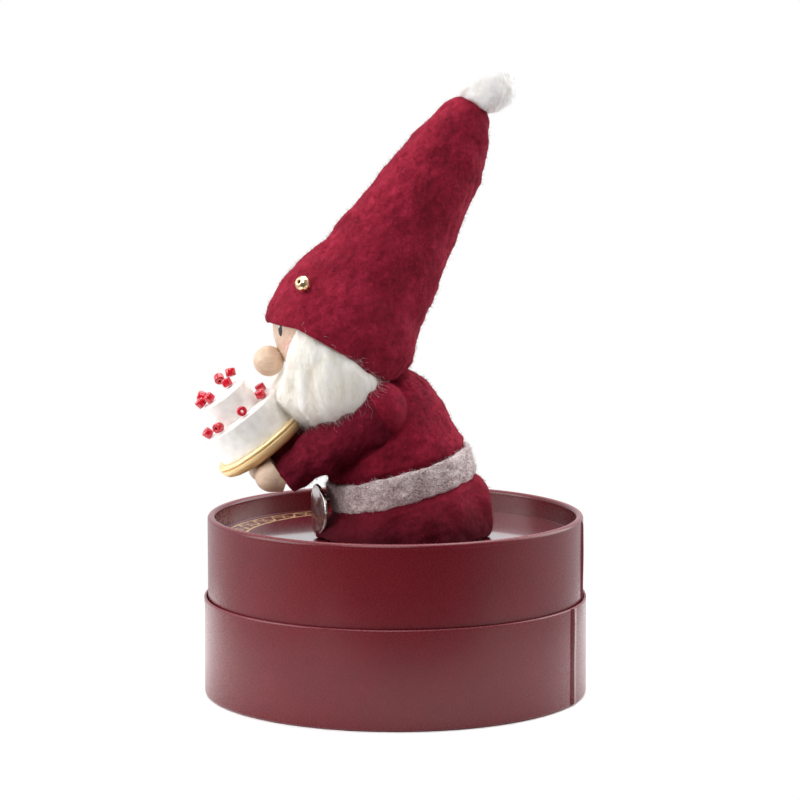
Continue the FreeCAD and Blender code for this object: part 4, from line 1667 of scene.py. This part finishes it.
# ---- hat ----
@dataclass
class FeltHat:
    """Tall pointed hat of one felt piece, sewn up the back and pulled over the forehead.

    Outlines are heights along the hat's axis over the head's centre, against how far the
    front and the back stand from the axis through that centre.
    """

    tilt: float = 29.6
    felt: float = 1.5
    front: tuple[tuple[float, float], ...] = (
        (-9.5, -18.0), (-7.4, -18.4), (-3.4, -19.3), (4.1, -19.3), (13.1, -16.9), (22.6, -13.8),
        (38.6, -10.8), (53.6, -7.7), (65.2, -4.9), (71.0, -2.9), (73.6, -0.9), (74.9, 2.2),
        (75.4, 4.2))
    back: tuple[tuple[float, float], ...] = (
        (-9.5, 23.5), (-3.0, 24.0), (0.6, 24.0), (5.6, 23.1), (12.6, 21.6), (19.2, 20.8),
        (26.6, 19.5), (35.6, 18.4), (45.4, 17.6), (53.0, 16.3), (61.8, 14.6), (68.5, 12.0),
        (72.4, 9.6), (74.6, 6.8), (75.4, 4.2))
    brim: tuple[tuple[float, float], ...] = (
        (0, -7.9), (30, -6.6), (52, -5.0), (90, -4.9), (125, -6.4), (140, -6.1),
        (162, -2.4), (181, 0.6))
    rows: int = 170
    cols: int = 250
    seam: float = 0.55
    stitch_gap: float = 3.2
    wadding: tuple[float, float] = (0.34, 0.90)
    hairs: tuple[int, int] = (7600, 190)
    seed: int = 91

    def axes(self) -> tuple[Array, Array]:
        """Unit vectors up the hat and across it, towards its back."""
        turn = math.radians(self.tilt)
        return (np.array([0.0, math.sin(turn), math.cos(turn)]),
                np.array([0.0, math.cos(turn), -math.sin(turn)]))

    def face(self, share: Array, angle: Array, inset: float) -> Array:
        """Places on the hat's outer face, or inside it.

        Args:
            share: 0 at the brim to 1 at the tip, as a column.
            angle: radians from the front, as a row.
            inset: how far inside the outer face.

        Returns:
            A grid of places.
        """
        up, back = self.axes()
        turned_away = np.degrees(np.arccos(np.cos(angle)))
        low = through(self.brim, turned_away)
        top = self.front[-1][0]
        height = low + share * (top - low)
        fore, aft = through(self.front, height), through(self.back, height)
        radius = np.maximum((aft - fore) / 2 - inset, 0.0)
        middle = (aft + fore) / 2
        height = np.minimum(height, top - inset)
        away = middle - radius * np.cos(angle)
        side = radius * np.sin(angle)
        return (middle_mm("head") + height[..., None] * up + away[..., None] * back
                + side[..., None] * LEFTWARD)

    def build(self) -> None:
        """Builds the hat, its seam, its fuzz and the wadding's look."""
        up, _ = self.axes()
        share = (np.linspace(0, 1, self.rows) ** 0.97)[:, None]
        angle = around(self.cols)[None]
        bare = self.face(share, angle, 0.0)
        core = middle_mm("head") + up * ((bare - middle_mm("head")) @ up)[..., None]
        outward = unit(bare - core)
        girth = np.linalg.norm(bare - core, axis=-1)
        off_seam = (angle - math.pi) * girth
        seam = -self.seam * np.exp(-(off_seam / 0.55) ** 2)
        seam = seam + 0.28 * np.exp(-((np.abs(off_seam) - 1.5) / 0.9) ** 2)
        calm = smooth(girth / 6)
        texture = lumps(bare, self.seed, (19.0, 0.40), (9.0, 0.26), (4.2, 0.15), (1.9, 0.07))
        slump = 0.35 * np.sin(((bare - core[:1]) @ up) / 3.4 + 2.2 * np.cos(angle)) * smooth(
            (share - 0.45) / 0.2) * (0.5 - 0.5 * np.cos(angle))
        shift = (texture + slump) * calm + seam * smooth(girth / 4)
        outer = bare + outward * shift[..., None]
        inner = self.face(share, angle, self.felt) + outward * (shift * calm)[..., None]
        edge_out = unit(outer[0] - outer[2])
        edge = rim(inner[0], outer[0], edge_out)
        rows = np.concatenate([inner[::-1], edge, outer])
        points, faces = capped(rows)
        cloth = WoolFelt("hat_wool_felt", deep="#4d0b19", dyed="#80162b", raised="#a32840").build()
        hat = make_piece("felt_hat", points, faces, cloth)
        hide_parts("hat")
        surface = Surface(outer, grid_faces(self.rows, self.cols), self.seed)
        hair = WoolFelt("hat_hair", deep="#70122a", dyed="#912036", raised="#b23850").build()
        nap("hat_hair", surface, self.hairs[0], FELT_HAIR, None, hair)
        nap("hat_stray_hair", surface, self.hairs[1], STRAY_HAIR, None, hair)
        self.sew(outer, hair)
        self.stuff()

    def stuff(self) -> None:
        """Fills the cone above the head with loose wadding."""
        share = np.linspace(*self.wadding, 60)[:, None]
        angle = around(120)[None]
        packed = self.face(share, angle, 2 * self.felt)
        middle = packed.mean(axis=1, keepdims=True)
        packed = packed - unit(packed - middle) * (0.4 + 0.4 * ripple(packed, 5.0, 3))[..., None]
        points, faces = capped(packed)
        fill = CardedWool("loose_wadding", shade="#d9d3c6", fleece="#efe9dd").build()
        wadding = make_piece("loose_hat_wadding", points, faces, fill)
        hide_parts("hat_wadding")

    def sew(self, outer: Array, thread: Material) -> None:
        """Whips small stitches across the back seam.

        Args:
            outer: the hat's outer face.
            thread: material of the thread.
        """
        column = self.cols // 2
        line = outer[:, column]
        run = np.concatenate([[0], np.cumsum(np.linalg.norm(np.diff(line, axis=0), axis=1))])
        places, faces = [], []
        for along in np.arange(1.5, run[-1] - 4, self.stitch_gap):
            row = int(np.searchsorted(run, along))
            heading = unit(line[row] - line[row - 1])
            out = np.cross(LEFTWARD, heading)
            if out[1] < 0:
                out = -out
            t = np.linspace(-1, 1, 9)
            path = (line[row] + t[:, None] * LEFTWARD * 1.25 + (t * 0.7)[:, None] * heading
                    + (0.62 - 0.75 * t ** 2)[:, None] * out)
            turns = around(6)
            ring = 0.16 * (np.cos(turns)[:, None] * out + np.sin(turns)[:, None] * heading)
            points, part = capped(path[:, None] + ring[None])
            faces.append([f + sum(len(p) for p in places) for f in part])
            places.append(points)
        piece = make_piece("hat_seam_stitches", np.concatenate(places),
                           [f for part in faces for f in part], thread)


@dataclass
class HatTrim:
    """Teased wool pompom on the tip, and one gold bead sewn over the forehead."""

    ball: float = 8.4
    bead_radius: float = 2.3
    bead_hole: float = 0.62
    facets: int = 9
    fluff: int = 7600
    seed: int = 131

    def build(self) -> None:
        """Builds the pompom and the bead."""
        self.build_pompom()
        self.build_bead()

    def build_pompom(self) -> None:
        """Builds the pompom: a soft ball with loose wool all round."""
        centre = middle_mm("pompom")
        beta = np.linspace(-89, 89, 110)[:, None]
        alpha = np.linspace(-180, 180, 180, endpoint=False)[None]
        alpha, beta = np.broadcast_arrays(alpha, beta)
        rays = facing(alpha, beta)
        bare = centre + rays * self.ball
        puffs = lumps(bare, self.seed, (6.5, 0.22), (3.0, 0.12), (1.4, 0.07))
        points = bare + rays * puffs[..., None]
        wool = CardedWool("teased_white_wool", shade="#f1eeea", fleece="#fdfbf8",
                          streak_mm=1.0).build()
        flat, faces = capped(points[::-1])
        ball = make_piece("wool_pompom", flat, faces, wool)
        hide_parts("pompom")
        surface = Surface(points, grid_faces(110, 180)[:, ::-1], self.seed)
        fluff = FibreStyle(length=(0.7, 1.7), radius=0.028, lift=0.6, scatter=0.5, curl=0.35,
                           wave=1.8)
        nap("pompom_fluff", surface, self.fluff, fluff, None, wool)

    def build_bead(self) -> None:
        """Builds the faceted gold bead, with its hole facing out."""
        centre = middle_mm("hat_bead")
        up, back = FeltHat().axes()
        head = middle_mm("head")
        core = head + up * ((centre - head) @ up) + back * 2.3
        out = unit(centre - core)
        size, hole = self.bead_radius, self.bead_hole
        steps = [(hole, -0.8 * size), (0.75 * size, -0.75 * size), (size, -0.1 * size),
                 (0.96 * size, 0.28 * size), (0.72 * size, 0.66 * size),
                 (0.40 * size, 0.86 * size), (hole, 0.80 * size), (hole * 0.8, 0.5 * size)]
        fine = subdivided(np.array(steps + steps[:1]), 3)[:-1]
        points = turned(fine, centre, out, 72)
        turn = around(72)
        cut = np.cos(math.pi / self.facets) / np.cos(
            (turn % (2 * math.pi / self.facets)) - math.pi / self.facets)
        offset = points - centre
        along = (offset @ out)[..., None] * out
        soft = 0.35 + 0.65 * cut[None, :, None]
        points = centre + along + (offset - along) * soft
        gold = PolishedMetal("bright_brass_bead", metal="#f3d8b0", tarnish="#dcb483",
                             dent_mm=1.4, gloss=0.2).build()
        bead = make_piece("gold_bead", points, [grid_faces(len(fine), 72, loop_rows=True)], gold)
        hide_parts("hat_bead")


# ---- plate and cake ----
@dataclass(frozen=True)
class Berry:
    """Where one bead lies on its tier."""

    angle: float
    radius: float
    lift: float
    tilt: float


@dataclass
class CakeOnPlate:
    """Gilded turned plate, two lacquered wooden tiers and drilled glass beads for berries."""

    tilt: float = 37.0
    plate_radius: float = 14.25
    plate_thickness: float = 4.2
    tier_round: float = 0.8
    lower: tuple[float, float] = (12.25, 9.0)
    upper: tuple[float, float] = (6.95, 7.4)
    berry: tuple[float, float, float] = (1.45, 2.3, 0.4)
    top_berries: tuple[Berry, ...] = (
        Berry(120, 6.1, 1.5, 30), Berry(162, 5.3, 1.7, 60), Berry(121, 3.1, 0.1, 10),
        Berry(-123, 6.3, 1.0, 40), Berry(-74, 4.1, 0.1, 15), Berry(-96, 6.8, 0.1, 10))
    ledge_berries: tuple[Berry, ...] = (
        Berry(108, 9.8, 0.1, 8), Berry(57, 9.6, 0.1, 12), Berry(5, 10.6, 0.3, 80),
        Berry(-41, 10.8, 0.3, 75), Berry(-72, 10.9, 0.1, 20))

    def build(self) -> None:
        """Builds the plate, both tiers and all berries."""
        axis, across = leaning(self.tilt)
        bottom = middle_mm("plate") - axis * self.plate_thickness / 2
        self.build_plate(bottom, axis)
        start = bottom + axis * self.plate_thickness
        lacquer = Lacquer("white_gloss_lacquer").build()
        for name, (radius, height) in (("lower", self.lower), ("upper", self.upper)):
            corners = [(0.01, 0, 0), (radius, 0, 0.2), (radius, height, self.tier_round),
                       (0.01, height, 0)]
            points = turned(subdivided(rounded(corners, 8), 7), start, axis, 200)
            points = points + unit(points - start - axis * height / 2) * (
                0.05 * ripple(points, 5.0, 7) + 0.03 * ripple(points, 2.0, 8))[..., None]
            flat, faces = capped(points)
            tier = make_piece("cake_tier_" + name, flat, faces, lacquer)
            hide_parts("cake_" + name + "_tier")
            start = start + axis * height
        ledge = start - axis * self.upper[1]
        glass = Lacquer("red_glass_bead", colour="#d3162e", thin="#b80d24", ripple_mm=1.2,
                        gloss=0.14, clear=0.6).build()
        self.build_berries("berries_top", self.top_berries, start, axis, across, glass)
        self.build_berries("berries_ledge", self.ledge_berries, ledge, axis, across, glass)

    def build_plate(self, bottom: Array, axis: Array) -> None:
        """Builds the plate with its grooved rim.

        Args:
            bottom: middle of the underside.
            axis: unit vector up through the plate.
        """
        edge, top = self.plate_radius, self.plate_thickness
        corners = [(0.01, 0, 0), (edge - 2.3, 0, 0.5), (edge - 0.9, 0.7, 0.5),
                   (edge - 0.15, 1.9, 0.5), (edge - 0.02, 2.95, 0.25), (edge - 0.6, 3.15, 0.1),
                   (edge - 0.6, 3.35, 0.1), (edge - 0.05, 3.5, 0.12), (edge, 3.85, 0.12),
                   (edge - 0.3, top, 0.15), (0.01, top, 0)]
        points = turned(subdivided(rounded(corners), 3), bottom, axis, 240)
        points = points + 0.04 * ripple(points, 3.0, 17)[..., None] * axis
        flat, faces = capped(points)
        base = float(bottom @ axis)
        gold = GoldPaint("brushed_gold_paint", axis=tuple(axis), underside_mm=base,
                         rim_top_mm=base + top).build()
        plate = make_piece("gilded_plate", flat, faces, gold)
        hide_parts("plate")

    def build_berries(self, node: str, berries: tuple[Berry, ...], surface: Array,
                      axis: Array, across: Array, glass: Material) -> None:
        """Builds one tier's berries as short drilled beads.

        Args:
            node: CAD node that they replace.
            berries: their places.
            surface: middle of the tier's top.
            axis: unit vector up through the cake.
            across: unit vector over the tier, towards the figure.
            glass: their material.
        """
        radius, length, hole = self.berry
        half = length / 2
        loop = [(hole, -half + 0.15), (hole + 0.15, -half), (radius - 0.35, -half),
                (radius - 0.1, -half + 0.1), (radius, -half + 0.35), (radius, half - 0.35),
                (radius - 0.1, half - 0.1), (radius - 0.35, half), (hole + 0.15, half),
                (hole, half - 0.15)]
        places, faces, count = [], [], 0
        for berry in berries:
            turn, lean = math.radians(berry.angle), math.radians(berry.tilt)
            flat = LEFTWARD * math.cos(turn) + across * math.sin(turn)
            centre = surface + flat * berry.radius + axis * (berry.lift + radius)
            heading = axis * math.cos(lean) + flat * math.sin(lean)
            points = turned(np.array(loop), centre, heading, 28)
            faces.append(grid_faces(len(loop), 28, loop_rows=True) + count)
            places.append(points.reshape(-1, 3))
            count += len(places[-1])
        piece = make_piece("glass_" + node, np.concatenate(places), faces, glass)
        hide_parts(node)


# ---- studio ----
@dataclass(frozen=True)
class Lamp:
    """One soft box: where it stands from the object, its size in metres and its power."""

    name: str
    place: tuple[float, float, float]
    size: tuple[float, float]
    watts: float


@dataclass
class Studio:
    """Pale floor, soft boxes and the camera."""

    azimuth: float = 81.0
    elevation: float = 7.173
    distance: float = 0.8838
    lens: float = 139.06
    aim_offset: tuple[float, float, float] = (0.0002, 0.00236, -0.00728)
    fill: tuple[float, float] = (0.92, 0.12)
    floor_reach: float = 0.14  # short, so that the box's sides don't mirror it
    lamps: tuple[Lamp, ...] = (
        Lamp("left_box", (0.05, -1.1, 0.50), (0.9, 0.9), 11.0),
        Lamp("right_box", (-0.30, 1.1, 0.60), (0.9, 1.0), 9.5),
        Lamp("top_box", (-0.30, 0.15, 1.25), (1.1, 1.1), 12.5),
        Lamp("front_top_box", (0.72, -0.30, 1.00), (0.7, 0.7), 6.8),
    )

    def build(self) -> None:
        """Builds the camera, the world, the lamps and the floor."""
        low, high = cad_box
        target = (Vector(low) + Vector(high)) / 2 + Vector(self.aim_offset)
        turn, rise = math.radians(self.azimuth), math.radians(self.elevation)
        away = Vector((math.sin(turn) * math.cos(rise), -math.cos(turn) * math.cos(rise),
                       math.sin(rise)))
        data = bpy.data.cameras.new("camera")
        data.sensor_width = 36.0
        data.lens = self.lens
        data.clip_start = 0.01
        camera = bpy.data.objects.new("camera", data)
        camera.location = target + away * self.distance
        camera.rotation_euler = (-away).to_track_quat("-Z", "Y").to_euler()
        bpy.context.scene.collection.objects.link(camera)
        bpy.context.scene.camera = camera
        bpy.context.scene.view_settings.view_transform = "Standard"
        self.build_world(away)
        for lamp in self.lamps:
            light = bpy.data.lights.new(lamp.name, "AREA")
            light.shape = "RECTANGLE"
            light.size, light.size_y = lamp.size
            light.energy = lamp.watts
            holder = bpy.data.objects.new(lamp.name, light)
            holder.location = lamp.place
            to_object = target - Vector(lamp.place)
            holder.rotation_euler = to_object.to_track_quat("-Z", "Y").to_euler()
            bpy.context.scene.collection.objects.link(holder)
        self.build_floor()

    def build_world(self, front: Vector) -> None:
        """Makes a white surround, dimmer on the side that the studio is open to.

        Args:
            front: unit vector from the object to the open side.
        """
        world = bpy.data.worlds.new("white_studio")
        world.use_nodes = True
        tree = world.node_tree
        tree.nodes.clear()
        seen = add_node(tree, "Background", {"Color": linear("#ffffff"), "Strength": 1.0})
        place = add_node(tree, "TexCoord")
        ahead = add_node(tree, "VectorMath", {0: place.outputs["Generated"], 1: front},
                         operation="DOT_PRODUCT")
        bright, dim = self.fill
        level = add_node(tree, "MapRange",
                         {"Value": ahead.outputs["Value"], "From Min": -0.1, "From Max": 0.85,
                          "To Min": bright, "To Max": dim}, interpolation_type="SMOOTHSTEP")
        lit = add_node(tree, "Background", {"Color": linear("#fbfcff"), "Strength": level})
        path = add_node(tree, "LightPath")
        both = add_node(tree, "MixShader", {0: path.outputs["Is Camera Ray"], 1: lit, 2: seen})
        add_node(tree, "OutputWorld", {"Surface": both})
        bpy.context.scene.world = world

    def build_floor(self) -> None:
        """Lays a pale seamless floor under the object."""
        mesh = bpy.data.meshes.new("studio_floor")
        reach = self.floor_reach
        mesh.from_pydata([(-reach, -reach, 0), (reach, -reach, 0), (reach, reach, 0),
                          (-reach, reach, 0)], [], [(0, 1, 2, 3)])
        floor = bpy.data.objects.new("studio_floor", mesh)
        floor.location.z = -0.0001
        bpy.context.scene.collection.objects.link(floor)
        finish = Lacquer("pale_studio_floor", colour="#fafafa", thin="#f6f6f6", ripple_mm=900.0,
                         gloss=0.9, clear=0.0)
        mesh.materials.append(finish.build())


def main() -> None:
    """Builds every sub-assembly in order and reports each one."""
    logging.basicConfig(level=logging.INFO, format="%(name)s: %(message)s")
    assemblies = (Studio(), BoardBox(), TopDisc(), FeltCoat(), FeltBelt(), Buckle(),
                  FeltArm(Side.LEFT), FeltArm(Side.RIGHT), WoodenHead(), WoolBeard(), FeltHat(),
                  HatTrim(), CakeOnPlate())
    for assembly in assemblies:
        assembly.build()
        log.info("%s is in place", type(assembly).__name__)


if __name__ == "__main__":
    main()
